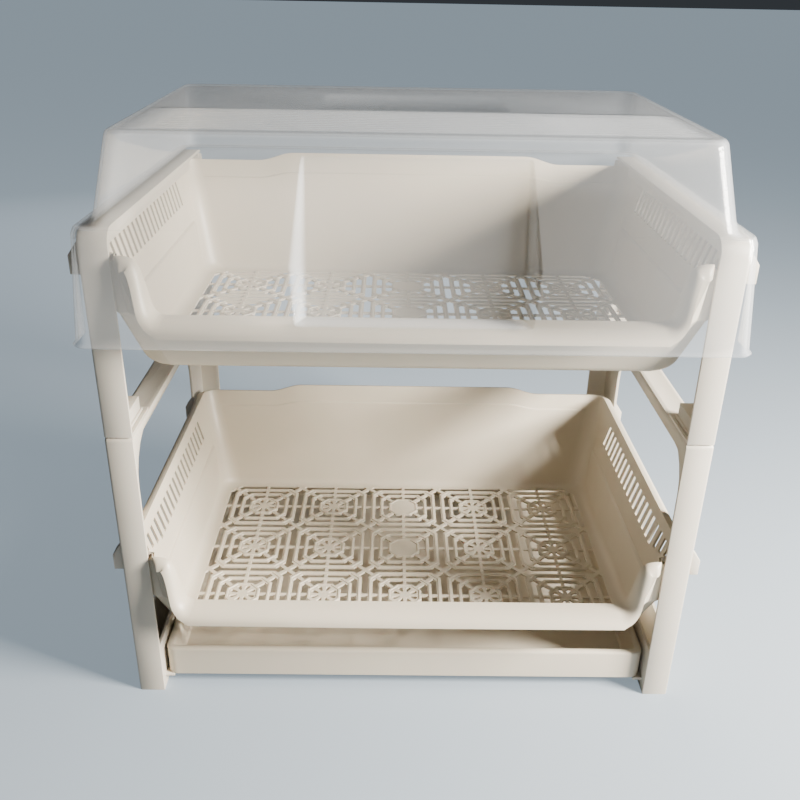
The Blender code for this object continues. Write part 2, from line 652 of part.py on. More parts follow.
def boss_mesh(side, place, cutters):
    """The block outside a tray's wall that takes a locking pin, as far as the leg's web."""
    low = PIN_HEIGHT - PIN_SHANK_HEIGHT / 2 - BOSS_WALL
    high = PIN_HEIGHT + PIN_SHANK_HEIGHT / 2 + BOSS_WALL
    outer = WEB_INSIDE - FIT_GAP
    skin = TRAY_WALL / 2
    outline = [(wall_line_x(low) + skin, low), (outer, low), (outer, high), (wall_line_x(high) + skin, high)]
    outline = [(side * across, up) for across, up in outline][::side]
    half = PIN_SHANK_WIDTH / 2 + BOSS_WALL
    end = "front" if place < 0 else "rear"
    return prism(f"boss_{side_name(side)}_{end}", outline, -place - half, -place + half, ALONG_Y, cutters)


def side_name(side):
    return "right" if side > 0 else "left"


def tray_mesh(cutters):
    """One tray with its floor at z = 0."""
    thing = shell("tray_shell", front_columns() + front_corner_columns() + back_columns(), TRAY_WALL, cutters)
    combine(thing, box_mesh("floor_slots", floor_slots()), "DIFFERENCE", cutters)
    combine(thing, side_slot_mesh(), "DIFFERENCE", cutters)
    holes = []
    for side in SIDES.values():
        for place in PIN_PLACES:
            combine(thing, boss_mesh(side, place, cutters), "UNION", cutters)
            half_width = PIN_SHANK_WIDTH / 2 + FIT_GAP
            half_height = PIN_SHANK_HEIGHT / 2 + FIT_GAP
            holes.append((span(WEB_INSIDE - PIN_TIP_REACH - BOSS_HOLE_END, WEB_INSIDE + OVERRUN, side),
                          (place - half_width, place + half_width),
                          (PIN_HEIGHT - half_height, PIN_HEIGHT + half_height)))
    combine(thing, box_mesh("pin_holes", holes), "DIFFERENCE", cutters)
    return baked_mesh(thing, "tray")


def ring(half_x, front, back, corner, height):
    """Half a rounded rectangle's outline at one height, from the front's middle round to the back's middle."""
    points = [(0.0, front)]
    points += arc((half_x - corner, front + corner), corner, -90, 0)
    points += arc((half_x - corner, back - corner), corner, 0, 90)
    points.append((0.0, back))
    return [Vector((across, along, height)) for across, along in points]


def drip_tray(parts, material):
    """A shallow tray with a hollow rim; it slides out to the front on the lower frames' ledges."""
    half = LEG_INSIDE - DRIP_SIDE_GAP
    front = LEG_FRONT + DRIP_FRONT_SETBACK
    back = LEG_BACK - DRIP_BACK_SETBACK
    base = LEDGE_TOP + FIT_GAP
    top = base + DRIP_HEIGHT
    floor = base + DRIP_FLOOR_LIFT
    inner = DRIP_RIM + DRIP_WALL_LEAN
    # Inset from the outside and height, from the floor's edge up over the rim and down the outside
    section = ((inner + DRIP_ROUND, floor), (inner, floor + DRIP_ROUND), (DRIP_RIM, top - DRIP_ROUND),
               (DRIP_RIM - DRIP_ROUND, top), (DRIP_ROUND, top), (0.0, top - DRIP_ROUND), (0.0, base))
    rings = [ring(half - inset, front + inset, back - inset,
                  max(DRIP_CORNER - inset, DRIP_ROUND / 2), height) for inset, height in section]
    columns = list(zip(*rings))
    thing = shell("drip_tray", columns, DRIP_WALL, parts)
    thing.data.materials.append(material)
    return thing


def cover_sections():
    """The cover's outline at each height, top first: half width at front and back, front, back, corner, height."""
    skirt_half = HALF_WIDTH + COVER_SKIRT_GAP + COVER_WALL
    skirt_back = LEG_BACK + COVER_BACK_OVERHANG - COVER_BACK_FLARE - COVER_LIP
    shoulder = RAIL_TOP + FIT_GAP + COVER_WALL
    wall_foot = shoulder + COVER_SHOULDER_HEIGHT
    foot_half = skirt_half - COVER_SHOULDER_WIDTH - COVER_LIP
    foot_back = skirt_back - COVER_SHOULDER_WIDTH
    lip_top = COVER_BOTTOM + COVER_LIP_HEIGHT

    def front_at(height):
        share = (height - lip_top) / (COVER_TOP - lip_top)
        return LEG_FRONT - COVER_FRONT_OVERHANG + COVER_LIP + COVER_FRONT_LEAN * share

    sections = []

    def upper(height, inset=0.0):
        share = (height - wall_foot) / (COVER_TOP - wall_foot)
        sections.append((foot_half - COVER_SIDE_LEAN_FRONT * share - inset,
                         foot_half - COVER_SIDE_LEAN_BACK * share - inset,
                         front_at(height) + inset, foot_back - COVER_BACK_LEAN * share - inset,
                         COVER_UPPER_CORNER, height))

    for share in TOP_ROUND_SHARES:
        turn = math.pi / 2 * share
        upper(COVER_TOP - COVER_TOP_ROUND * (1 - math.cos(turn)), COVER_TOP_ROUND * (1 - math.sin(turn)))
    upper(SCOOP_TOP)
    upper(wall_foot)

    for out, left in SHOULDER_SHARES:
        height = shoulder + COVER_SHOULDER_HEIGHT * left
        half = blend(foot_half, skirt_half, out)
        corner = blend(COVER_UPPER_CORNER, COVER_LOWER_CORNER, out)
        sections.append((half, half, front_at(height), blend(foot_back, skirt_back, out), corner, height))

    skirt_top = sections[-1][-1]
    for height in (SCOOP_WIDEST, SCOOP_BOTTOM, SCOOP_BOTTOM - SCOOP_SHELF, lip_top):
        share = (skirt_top - height) / (skirt_top - lip_top)
        half = skirt_half + COVER_SKIRT_FLARE * share
        sections.append((half, half, front_at(height), skirt_back + COVER_BACK_FLARE * share,
                         COVER_LOWER_CORNER, height))
    half, half, front, back, corner, height = sections[-1]
    sections.append((half + COVER_LIP, half + COVER_LIP, front - COVER_LIP, back + COVER_LIP,
                     corner + COVER_LIP, COVER_BOTTOM))
    return sections


def scoop_edge(height):
    """Half width of the hand-hold at a height on the front of the cover."""
    if height >= SCOOP_TOP:
        return SCOOP_EDGE_TOP
    if height >= SCOOP_WIDEST:
        return blend(SCOOP_EDGE_WIDEST, SCOOP_EDGE_TOP, (height - SCOOP_WIDEST) / (SCOOP_TOP - SCOOP_WIDEST))
    share = max((height - SCOOP_BOTTOM) / (SCOOP_WIDEST - SCOOP_BOTTOM), 0.0)
    return blend(SCOOP_EDGE_BOTTOM, SCOOP_EDGE_WIDEST, share)


def scoop_depth(height):
    """How far the hand-hold is sunk into the front at a height."""
    if not SCOOP_BOTTOM <= height <= SCOOP_TOP:
        return 0.0
    return SCOOP_DEPTH * (SCOOP_TOP - height) / (SCOOP_TOP - SCOOP_BOTTOM)


def cover_row(half_front, half_back, front, back, corner, height):
    sunk = front + scoop_depth(height)
    points = [(0.0, sunk), (SCOOP_FLOOR_HALF, sunk), (scoop_edge(height), front)]
    points += arc((half_front - corner, front + corner), corner, -90, 0)
    points += arc((half_back - corner, back - corner), corner, 0, 90)
    points.append((0.0, back))
    return [Vector((across, along, height)) for across, along in points]


def cover(parts, cutters, material):
    """The see-through cover: it rests on the upper rails, and its skirt hangs outside the legs."""
    columns = list(zip(*[cover_row(*section) for section in cover_sections()]))
    thing = shell("cover", columns, COVER_WALL, parts)
    thing.data.materials.append(material)
    half = PIN_HEAD_WIDTH / 2 + NOTCH_SIDE_GAP
    top = UPPER_TRAY_FLOOR + PIN_HEIGHT + PIN_RAMP_ABOVE + NOTCH_TOP_GAP
    outer = HALF_WIDTH + COVER_SKIRT_FLARE + COVER_LIP + COVER_WALL + OVERRUN
    notches = [(span(HALF_WIDTH - FRAME_WALL, outer, side), (place - half, place + half),
                (COVER_BOTTOM - OVERRUN, top)) for side in SIDES.values() for place in PIN_PLACES]
    combine(thing, box_mesh("cover_notches", notches), "DIFFERENCE", cutters)
    return thing


def build_rack():
    clear_objects()
    parts = collection("dish_rack")
    cutters = collection("cutters")
    frame_plastic = plastic("frame_plastic", CREAM, FRAME_ROUGHNESS)
    tray_plastic = plastic("tray_plastic", DEEP_CREAM, TRAY_ROUGHNESS)
    clear_plastic = plastic("cover_plastic", MILKY, COVER_ROUGHNESS, COVER_ALPHA)

    heights = {"lower": (0.0, LOWER_FRAME_HEIGHT), "upper": (UPPER_FRAME_BASE, UPPER_FRAME_HEIGHT)}
    for tier, (base, height) in heights.items():
        for side_word, side in SIDES.items():
            side_frame(f"{tier}_{side_word}_side_frame", side, base, height, parts, cutters, frame_plastic)
    for side_word, side in SIDES.items():
        for end in ENDS:
            connector_plug(f"{end}_{side_word}_leg_connector", side, end, parts, cutters, frame_plastic)

    mesh = tray_mesh(cutters)
    for tier, floor_height in TIERS.items():
        tray = add_object(f"{tier}_tray", mesh, parts, tray_plastic)
        tray.location.z = floor_height
        for side_word, side in SIDES.items():
            for end, place in zip(ENDS, PIN_PLACES):
                locking_pin(f"{tier}_{end}_{side_word}_locking_pin", side, place, floor_height,
                            parts, cutters, frame_plastic)

    drip_tray(parts, tray_plastic)
    cover(parts, cutters, clear_plastic)
    for thing in parts.objects:
        thing.data.shade_smooth()
        thing.data.set_sharp_from_angle(angle=SMOOTH_ANGLE)


build_rack()
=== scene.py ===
"""Looks of a two-tier dish rack: its satin plastics, moulded trays, drip tray and see-through cover."""

import math

import bmesh
import bpy
from bpy.props import FloatProperty, FloatVectorProperty, IntProperty, PointerProperty
from mathutils import Matrix, Vector


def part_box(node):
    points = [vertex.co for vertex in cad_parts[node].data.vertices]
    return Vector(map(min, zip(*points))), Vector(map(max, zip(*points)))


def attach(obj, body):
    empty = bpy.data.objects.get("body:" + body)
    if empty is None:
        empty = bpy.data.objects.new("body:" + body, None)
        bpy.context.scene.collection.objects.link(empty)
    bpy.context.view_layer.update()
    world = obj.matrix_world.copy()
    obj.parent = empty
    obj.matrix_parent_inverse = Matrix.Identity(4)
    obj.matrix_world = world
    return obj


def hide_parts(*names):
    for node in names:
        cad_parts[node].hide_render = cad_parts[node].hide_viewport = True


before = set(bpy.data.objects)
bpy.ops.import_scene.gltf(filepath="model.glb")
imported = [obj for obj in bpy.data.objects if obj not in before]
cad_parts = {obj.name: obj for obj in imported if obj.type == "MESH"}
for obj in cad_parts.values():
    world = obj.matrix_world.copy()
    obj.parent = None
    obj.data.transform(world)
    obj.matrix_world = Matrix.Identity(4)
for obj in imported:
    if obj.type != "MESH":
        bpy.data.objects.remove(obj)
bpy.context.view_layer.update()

bl_info = {
    "name": "Dish Rack Looks",
    "version": (1, 0, 0),
    "blender": (4, 5, 0),
    "location": "View3D > Sidebar > Dish Rack",
    "description": "Builds the finished surfaces of a two-tier dish rack around its frame",
    "category": "Add Mesh",
}

# Places taken from the frame
RIGHT_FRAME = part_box("upper_right_side_frame")
LEG_INSIDE, LEG_FRONT = RIGHT_FRAME[0].x, RIGHT_FRAME[0].y
HALF_WIDTH, LEG_BACK, RAIL_TOP = RIGHT_FRAME[1]
COVER_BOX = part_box("cover")
DRIP_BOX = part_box("drip_tray")
FRONT_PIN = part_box("lower_front_right_locking_pin")
REAR_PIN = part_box("lower_rear_right_locking_pin")
PIN_PLACES = tuple((pin[0].y + pin[1].y) / 2 for pin in (FRONT_PIN, REAR_PIN))
SIDES = (-1, 1)

# Tools and tolerances
MERGE_DISTANCE = 0.00002
OVERRUN = 0.004
SMOOTH_ANGLE = math.radians(32)
FLAT_ANGLE = math.radians(0.5)
LEAST_CORNER = 0.001

# Faces along the curves
CURVE_STEPS = 3
RIM_STEPS = 4
FILLET_STEPS = 6
CORNER_STEPS = 8

# Tray: how its wall runs, as in the frame
TRAY_TOP_HALF = HALF_WIDTH - 0.013
TRAY_BACK = LEG_BACK - 0.033
CURVE_END = LEG_INSIDE - 0.0035
CURVE_WIDTH = 0.032
FLOOR_CORNER = 0.022
TOP_CORNER = 0.014
FLANGE_WIDTH = 0.007
FLANGE_DROP = 0.003
BACK_FLANGE_WIDTH = 0.005
FRONT_CORNER_DEPTH = 0.010
LEG_CLEARANCE = 0.0055
SHOULDER_DROP = 0.0145
BACK_END_DROP = 0.002
BACK_CREST_RISE = 0.0055
CREST_HALF_WIDTH = 0.115
CREST_SLOPE_WIDTH = 0.035
SIDE_FILLET = 0.011
FRONT_FILLET = 0.0049
BACK_FILLET = 0.0065
PATTERN_START = 0.0084
LEDGE_RISE = 0.0012
FLOOR_STEP = 0.0001
PANEL_OVERLAP = 0.0006
MID_HEIGHT_SHARE = 0.55
CREST_STEP_SHARE = 0.70
LEDGE_TOP_SHARE = 0.8
SIDE_LOOKS, SIDE_LOOK_SHARE = (-1, 0, 0.3), 0.8
SIDE_SLOT_TOP_GAP = 0.0115
SIDE_SLOT_FRONT_GAP = 0.020
SIDE_SLOT_BACK_GAP = 0.058
SHORT_SLOTS = 3
SHORT_SLOT_STEP = 0.004
BOSS_RISE = 0.007
BOSS_HALF_HEIGHT = 0.0079
BOSS_HALF_WIDTH = 0.0069
BOSS_GAP = 0.0028

# Swept-up end of a tray's front, up to 2 mm nearer the middle than in the frame: across, up and
# how far the lip stands forward there
CURVE_SHARES = (
    (0.00, 0.00, 1.00), (0.12, 0.03, 0.92), (0.23, 0.12, 0.78), (0.31, 0.33, 0.64), (0.38, 0.58, 0.52),
    (0.46, 0.80, 0.44), (0.58, 0.94, 0.38), (0.76, 0.99, 0.35), (0.88, 1.00, 0.34), (1.00, 1.00, 0.33),
)
LIP_THINNING = 0.30
LIP_END_START = 0.84
LIP_END_DROP = 0.40
LIP_END_LEAST = 0.02
# Corner behind a front leg: across from the lip's end, back from the leg, up to the side's height,
# and how far the flange stands out and forward
FRONT_CORNER_SHARES = (
    (0.07, 0.00, 0.00, 0.12, 0.00), (0.70, 0.00, 0.22, 0.40, 0.20),
    (1.00, 0.35, 0.62, 0.85, 0.25), (1.00, 1.00, 1.00, 1.00, 0.00),
)

# Floor pattern, as shares of a cell: half size and corner cut of each ring's outer and inner edge
SLOT_RINGS = ((0.4016, 0.112, 0.3360, 0.112), (0.2848, 0.105, 0.2047, 0.105))
BORDER_RING = (0.4606, 0.108)
PATTERN_EDGE = (0.5341, 0.150)
RIDGE_RINGS = ((0.4318, 0.110), (0.3110, 0.108), (0.1864, 0.102))
PETALS = 8
PETAL = ((0.072, 0.008), (0.128, 0.025), (0.152, 0.022), (0.162, 0.0))
SOLID_MEDALLIONS = {(2, 1), (2, 2)}
CELLS_ACROSS, CELLS_DEEP = 5, 3

# Drip tray: how far its inner wall leans, and the slope at its foot
DRIP_WALL_LEAN = 0.0015
DRIP_WALL_FOOT = 0.0015

# Cover, as in the frame
COVER_LIP = 0.002
COVER_FRONT_LEAN = 0.032
COVER_BACK_LEAN = 0.012
COVER_SHOULDER_WIDTH = 0.0135
COVER_SHOULDER_HEIGHT = 0.010
COVER_SIDE_LEAN_FRONT = 0.0105
COVER_SIDE_LEAN_BACK = 0.003
COVER_SKIRT_GAP = 0.0005
COVER_SKIRT_FLARE = 0.0015
COVER_BACK_FLARE = 0.0025
COVER_UPPER_CORNER = 0.014
COVER_LOWER_CORNER = 0.010
SHOULDER_GAP = 0.0003
SHOULDER_SHARES = ((0.0, 1.0), (0.18, 0.20), (0.50, 0.01), (0.86, -0.02), (1.0, -0.48))
SCOOP_TOP = COVER_BOX[1].z - 0.015
SCOOP_BOTTOM = COVER_BOX[0].z + 0.018
SCOOP_WIDEST = SCOOP_BOTTOM + 0.038
SCOOP_FLOOR_HALF = 0.0755
SCOOP_EDGE_TOP = 0.078
SCOOP_EDGE_WIDEST = 0.088
SCOOP_EDGE_BOTTOM = 0.084
SCOOP_SHELF = 0.001
NOTCH_SIDE_GAP = 0.002
NOTCH_TOP_GAP = 0.0015
NOTCH_DEPTH = 0.0025

# Cover: a tighter top edge and a deeper hand-hold than in the frame, and the relief on the top
COVER_TOP_ROUND = 0.0045
SCOOP_POWER = 0.55
SCOOP_SECTION_SHARES = (0.04, 0.16, 0.36, 0.64)
TOP_DROP = 0.0008
TOP_INSET = 0.004
TOP_CORNER_START = 0.1
RIDGE_END_GAP = 0.006
PANEL_EDGE = 0.0030
PANEL_RISE = 0.0004

# Plastics
PLASTIC_IOR = 1.49
DARK_SHARE = 0.93
GLOSS_BELOW, GLOSS_ABOVE = 0.06, 0.08
FLOW_WEIGHT = 0.35
CLOUD_SCALE, FLOW_SCALE, GRAIN_SCALE, VEIL_SCALE = 9.0, 38.0, 1300.0, 14.0

# Stage
SENSOR_WIDTH = 36.0
LIGHT_AIM = (0.0, 0.0, 0.22)
KEY_PLACE, KEY_SIZE = (1.13, -0.56, 0.70), 0.40
TOP_PLACE, BACK_PLACE, SOFT_SIZE = (0.3, 0.2, 1.7), (-0.7, 1.6, 0.9), 1.2
FLOOR_HALF = 30.0
SKY_COLOUR = (0.76, 0.87, 1.0, 1)


class PlasticLook(bpy.types.PropertyGroup):
    """Colours and gloss of the plastics."""

    frame_colour: FloatVectorProperty(
        name="Frame colour", description="Colour of the side frames and pins", subtype="COLOR",
        default=(0.600, 0.550, 0.460), min=0.0, max=1.0)
    tray_colour: FloatVectorProperty(
        name="Tray colour", description="Colour of the trays and the drip tray", subtype="COLOR",
        default=(0.600, 0.535, 0.425), min=0.0, max=1.0)
    cover_colour: FloatVectorProperty(
        name="Cover colour", description="Milky tint of the cover", subtype="COLOR",
        default=(0.800, 0.840, 0.880), min=0.0, max=1.0)
    satin: FloatProperty(
        name="Satin", description="Roughness of the cream plastic", subtype="FACTOR",
        default=0.40, min=0.0, max=1.0)
    haze: FloatProperty(
        name="Haze", description="How much of the light each face of the cover stops", subtype="FACTOR",
        default=0.075, min=0.0, max=1.0)
    edge_haze: FloatProperty(
        name="Edge haze", description="How much the cover stops where it is seen edge on", subtype="FACTOR",
        default=0.95, min=0.0, max=1.0)


class FrameSizes(bpy.types.PropertyGroup):
    """Fine edges of the side frames, pins and connectors."""

    edge: FloatProperty(
        name="Edge radius", description="Radius of the moulded edges", unit="LENGTH", default=0.0005)
    edge_steps: IntProperty(
        name="Edge steps", description="Faces across a moulded edge", default=2, min=1, max=4)


class TraySizes(bpy.types.PropertyGroup):
    """Sizes of a tray."""

    wall: FloatProperty(name="Wall", description="Thickness of the wall", unit="LENGTH", default=0.002)
    side_height: FloatProperty(
        name="Side height", description="Height of the sides over the floor", unit="LENGTH", default=0.1065)
    side_lean: FloatProperty(
        name="Side lean", description="How far the sides lean out", unit="LENGTH", default=0.017)
    front_height: FloatProperty(
        name="Front height", description="Height of the low front", unit="LENGTH", default=0.049)
    front_lean: FloatProperty(
        name="Front lean", description="How far the front and back lean out", unit="LENGTH", default=0.025)
    lip_reach: FloatProperty(
        name="Lip reach", description="How far the front lip rolls forward", unit="LENGTH", default=0.020)
    lip_drop: FloatProperty(
        name="Lip drop", description="How far the front lip hangs down", unit="LENGTH", default=0.012)
    ledge: FloatProperty(
        name="Ledge", description="Depth of the ledge along a side wall", unit="LENGTH", default=0.0022)
    crest_step: FloatProperty(
        name="Crest step", description="Depth of the step along the back wall", unit="LENGTH", default=0.0010)
    cell: FloatProperty(
        name="Cell", description="Pitch of the floor pattern's cells", unit="LENGTH", default=0.0762)
    split: FloatProperty(
        name="Split", description="Width of the rib that halves each slot", unit="LENGTH", default=0.0032)
    diagonal: FloatProperty(
        name="Diagonal", description="Width of the diagonal ribs, measured across the pattern", unit="LENGTH",
        default=0.0028)
    ridge: FloatProperty(
        name="Ridge", description="Radius of the ridges along the ribs", unit="LENGTH", default=0.0016)
    ridge_rise: FloatProperty(
        name="Ridge rise", description="Height of the ridges over the floor", unit="LENGTH", default=0.0007)
    rib_round: FloatProperty(
        name="Rib round", description="Radius of the edges of the ribs", unit="LENGTH", default=0.0004)
    side_slots: IntProperty(
        name="Side slots", description="Slanted slots in each side wall", default=20, min=1, max=40)
    side_slot: FloatProperty(
        name="Side slot", description="Width of a slanted slot", unit="LENGTH", default=0.0050)
    side_slot_length: FloatProperty(
        name="Side slot length", description="Height of a slanted slot", unit="LENGTH", default=0.024)
    slant: FloatProperty(
        name="Slant", description="How far a slanted slot leans on its length", unit="LENGTH", default=0.006)


class DripTraySizes(bpy.types.PropertyGroup):
    """Sizes of the drip tray."""

    wall: FloatProperty(name="Wall", description="Thickness of the wall", unit="LENGTH", default=0.0018)
    rim: FloatProperty(name="Rim", description="Width of the hollow rim", unit="LENGTH", default=0.0065)
    floor_lift: FloatProperty(
        name="Floor lift", description="Height of the floor over the foot", unit="LENGTH", default=0.002)
    corner: FloatProperty(name="Corner", description="Radius of the corners", unit="LENGTH", default=0.009)
    edge: FloatProperty(name="Edge", description="Radius of the rim's edges", unit="LENGTH", default=0.0024)


class CoverSizes(bpy.types.PropertyGroup):
    """Sizes of the cover."""

    wall: FloatProperty(name="Wall", description="Thickness of the wall", unit="LENGTH", default=0.0018)
    scoop_depth: FloatProperty(
        name="Hand-hold depth", description="Depth of the recess in the front", unit="LENGTH", default=0.015)
    ridge_pitch: FloatProperty(
        name="Ridge pitch", description="Pitch of the fine ridges on the top", unit="LENGTH", default=0.0088)
    ridge_half: FloatProperty(
        name="Ridge half width", description="Half width of a fine ridge", unit="LENGTH", default=0.0012)
    ridge_rise: FloatProperty(
        name="Ridge rise", description="Height of a fine ridge", unit="LENGTH", default=0.0008)
    ridges: IntProperty(name="Ridges", description="Number of fine ridges", default=12, min=0, max=30)
    panel_width: FloatProperty(
        name="Panel width", description="Width of the bare raised panel", unit="LENGTH", default=0.155)
    panel_depth: FloatProperty(
        name="Panel depth", description="Depth of the bare raised panel", unit="LENGTH", default=0.105)
    panel_middle: FloatProperty(
        name="Panel middle", description="Place of the panel along the depth", unit="LENGTH", default=0.033)


class StageLook(bpy.types.PropertyGroup):
    """Camera, lights and floor."""

    camera_place: FloatVectorProperty(
        name="Camera", description="Place of the camera", subtype="TRANSLATION",
        default=(-0.0171, -0.7477, 0.5706))
    yaw: FloatProperty(
        name="Yaw", description="Turn to the right", subtype="ANGLE", default=math.radians(0.8))
    pitch: FloatProperty(
        name="Pitch", description="Tilt down", subtype="ANGLE", default=math.radians(25.52))
    roll: FloatProperty(
        name="Roll", description="Roll of the camera", subtype="ANGLE", default=math.radians(1.08))
    lens: FloatProperty(name="Lens", description="Focal length in millimetres", default=39.29)
    floor_colour: FloatVectorProperty(
        name="Floor colour", description="Colour of the floor", subtype="COLOR",
        default=(0.26, 0.30, 0.34), min=0.0, max=1.0)
    glow_colour: FloatVectorProperty(
        name="Floor glow", description="Light that the floor adds for the camera alone", subtype="COLOR",
        default=(0.24, 0.30, 0.35), min=0.0, max=1.0)
    key_colour: FloatVectorProperty(
        name="Key colour", description="Colour of the main light", subtype="COLOR",
        default=(1.0, 0.95, 0.88), min=0.0, max=1.0)
    key_power: FloatProperty(
        name="Key", description="Power of the main light", unit="POWER", default=120.0)
    fill_power: FloatProperty(
        name="Fill", description="Power of the weak light from above", unit="POWER", default=0.8)
    back_power: FloatProperty(
        name="Back", description="Power of the light from behind", unit="POWER", default=6.0)
    sky: FloatProperty(name="Sky", description="Strength of the light from all round", default=0.045)


def blend(low, high, share):
    return low + (high - low) * share


def shares(steps):
    """Even shares from 0 to 1."""
    return [step / steps for step in range(steps + 1)]


def smooth_line(points, steps):
    """A smooth curve through the given points that never turns back between two of them."""
    columns = []
    for values in zip(*points):
        slopes = [after - before for before, after in zip(values, values[1:])]
        tangents = [slopes[0]]
        for before, after in zip(slopes, slopes[1:]):
            tangents.append(2 * before * after / (before + after) if before * after > 0 else 0.0)
        tangents.append(slopes[-1])
        line = []
        for start, end, leaving, arriving in zip(values, values[1:], tangents, tangents[1:]):
            for share in shares(steps)[:-1]:
                rest = 1 - share
                line.append(start * (1 + 2 * share) * rest ** 2 + leaving * share * rest ** 2
                            + end * (1 + 2 * rest) * share ** 2 - arriving * rest * share ** 2)
        columns.append(line + [values[-1]])
    return list(zip(*columns))


def arc(centre, radius, start, end, steps):
    angles = [math.radians(blend(start, end, share)) for share in shares(steps)]
    return [(centre[0] + radius * math.cos(a), centre[1] + radius * math.sin(a)) for a in angles]


def span(low, high, side=1):
    return (low, high) if side > 0 else (-high, -low)


def new_edges(shape, line, closed):
    pairs = list(zip(line, line[1:]))
    if closed:
        pairs.append((line[-1], line[0]))
    return [shape.edges.new(pair) for pair in pairs]


def loft(shape, sections, closed=False):
    """Draw the first section and extrude it through the others. Returns the last section's edges."""
    line = [shape.verts.new(point) for point in sections[0]]
    edges = new_edges(shape, line, closed)
    for section in sections[1:]:
        made = bmesh.ops.extrude_edge_only(shape, edges=edges)["geom"]
        fresh = {item for item in made if isinstance(item, bmesh.types.BMVert)}
        line = [next(edge.other_vert(old) for edge in old.link_edges if edge.other_vert(old) in fresh)
                for old in line]
        for vertex, point in zip(line, section):
            vertex.co = point
        edges = [item for item in made if isinstance(item, bmesh.types.BMEdge)
                 and all(vertex in fresh for vertex in item.verts)]
    return edges


def face_towards(shape, direction, at):
    """Turn the whole surface so that the face nearest a point looks in a direction."""
    bmesh.ops.recalc_face_normals(shape, faces=shape.faces)
    face = min(shape.faces, key=lambda f: (f.calc_center_median() - Vector(at)).length)
    face.normal_update()
    if face.normal.dot(Vector(direction)) < 0:
        bmesh.ops.reverse_faces(shape, faces=shape.faces)


def add_boxes(shape, boxes):
    for ranges in boxes:
        centre = Vector([(low + high) / 2 for low, high in ranges])
        size = Vector([high - low for low, high in ranges])
        matrix = Matrix.Translation(centre) @ Matrix.Diagonal(size.to_4d())
        bmesh.ops.create_cube(shape, size=1, matrix=matrix)
    return shape


def as_mesh(shape, name):
    mesh = bpy.data.meshes.new(name)
    shape.to_mesh(mesh)
    shape.free()
    return mesh


def evaluated(thing):
    """The object's mesh with its modifiers applied; the object is removed."""
    bpy.context.view_layer.update()
    mesh = bpy.data.meshes.new_from_object(thing.evaluated_get(bpy.context.evaluated_depsgraph_get()))
    bpy.data.objects.remove(thing, do_unlink=True)
    return mesh


def linked(name, data):
    thing = bpy.data.objects.new(name, data)
    bpy.context.scene.collection.objects.link(thing)
    return thing


def walled(mesh, thickness, cutter=None):
    """Give a surface its wall, on its back, and cut an optional mesh out of it."""
    thing = linked("walled", mesh)
    solid = thing.modifiers.new("wall", "SOLIDIFY")
    solid.thickness = thickness
    solid.offset = -1.0
    solid.use_even_offset = True
    tool = None
    if cutter:
        tool = linked("cutter", cutter)
        tool.hide_render = True
        cut = thing.modifiers.new("cut", "BOOLEAN")
        cut.operation = "DIFFERENCE"
        cut.solver = "EXACT"
        cut.object = tool
    result = evaluated(thing)
    if tool:
        bpy.data.objects.remove(tool, do_unlink=True)
    return result


def curve_mesh(outlines, flat, extrude, depth, height):
    """Closed outlines as a pierced plate when flat, or as round ridges when not."""
    curve = bpy.data.curves.new("outline", "CURVE")
    curve.dimensions = "2D" if flat else "3D"
    curve.fill_mode = "BOTH" if flat else "FULL"
    curve.extrude = extrude
    curve.bevel_depth = depth
    curve.bevel_resolution = 1
    curve.offset = -depth if flat else 0.0
    for outline in outlines:
        line = curve.splines.new("POLY")
        line.points.add(len(outline) - 1)
        for point, place in zip(line.points, outline):
            point.co = (place[0], place[1], 0.0, 1.0)
        line.use_cyclic_u = True
    mesh = evaluated(linked("outline", curve))
    mesh.transform(Matrix.Translation((0.0, 0.0, height)))
    return mesh


def finished(name, mesh, material, slot, body, *nodes):
    """Dress a mesh, shade it, and let it ride on a body in place of frame nodes."""
    mesh.materials.clear()
    mesh.materials.append(material)
    mesh.shade_smooth()
    mesh.set_sharp_from_angle(angle=SMOOTH_ANGLE)
    piece = linked(name, mesh)
    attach(piece, body)
    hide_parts(*nodes)
    return piece


def node_group(name, inputs, outputs):
    tree = bpy.data.node_groups.new(name, "ShaderNodeTree")
    for label, kind, default in inputs:
        socket = tree.interface.new_socket(name=label, in_out="INPUT", socket_type=kind)
        socket.default_value = default
    for label, kind in outputs:
        tree.interface.new_socket(name=label, in_out="OUTPUT", socket_type=kind)
    return tree, tree.nodes.new("NodeGroupInput"), tree.nodes.new("NodeGroupOutput")


def set_inputs(node, values):
    for label, value in values.items():
        node.inputs[label].default_value = value


def wire(tree, *pairs):
    """Join outputs to inputs."""
    for start, end in pairs:
        tree.links.new(start, end)


def noise_node(tree, place, scale, detail=3.0):
    node = tree.nodes.new("ShaderNodeTexNoise")
    set_inputs(node, {"Scale": scale, "Detail": detail})
    tree.links.new(place, node.inputs["Vector"])
    return node.outputs["Fac"]


def range_node(tree, value, low=0.0, high=1.0, start=0.0, end=1.0):
    """A value between start and end, mapped to low and high."""
    node = tree.nodes.new("ShaderNodeMapRange")
    set_inputs(node, {"From Min": start, "From Max": end, "To Min": low, "To Max": high})
    tree.links.new(value, node.inputs["Value"])
    return node


def new_material(name):
    """A material, its node tree and its Principled shader."""
    material = bpy.data.materials.new(name)
    material.use_nodes = True
    tree = material.node_tree
    return material, tree, tree.nodes["Principled BSDF"]


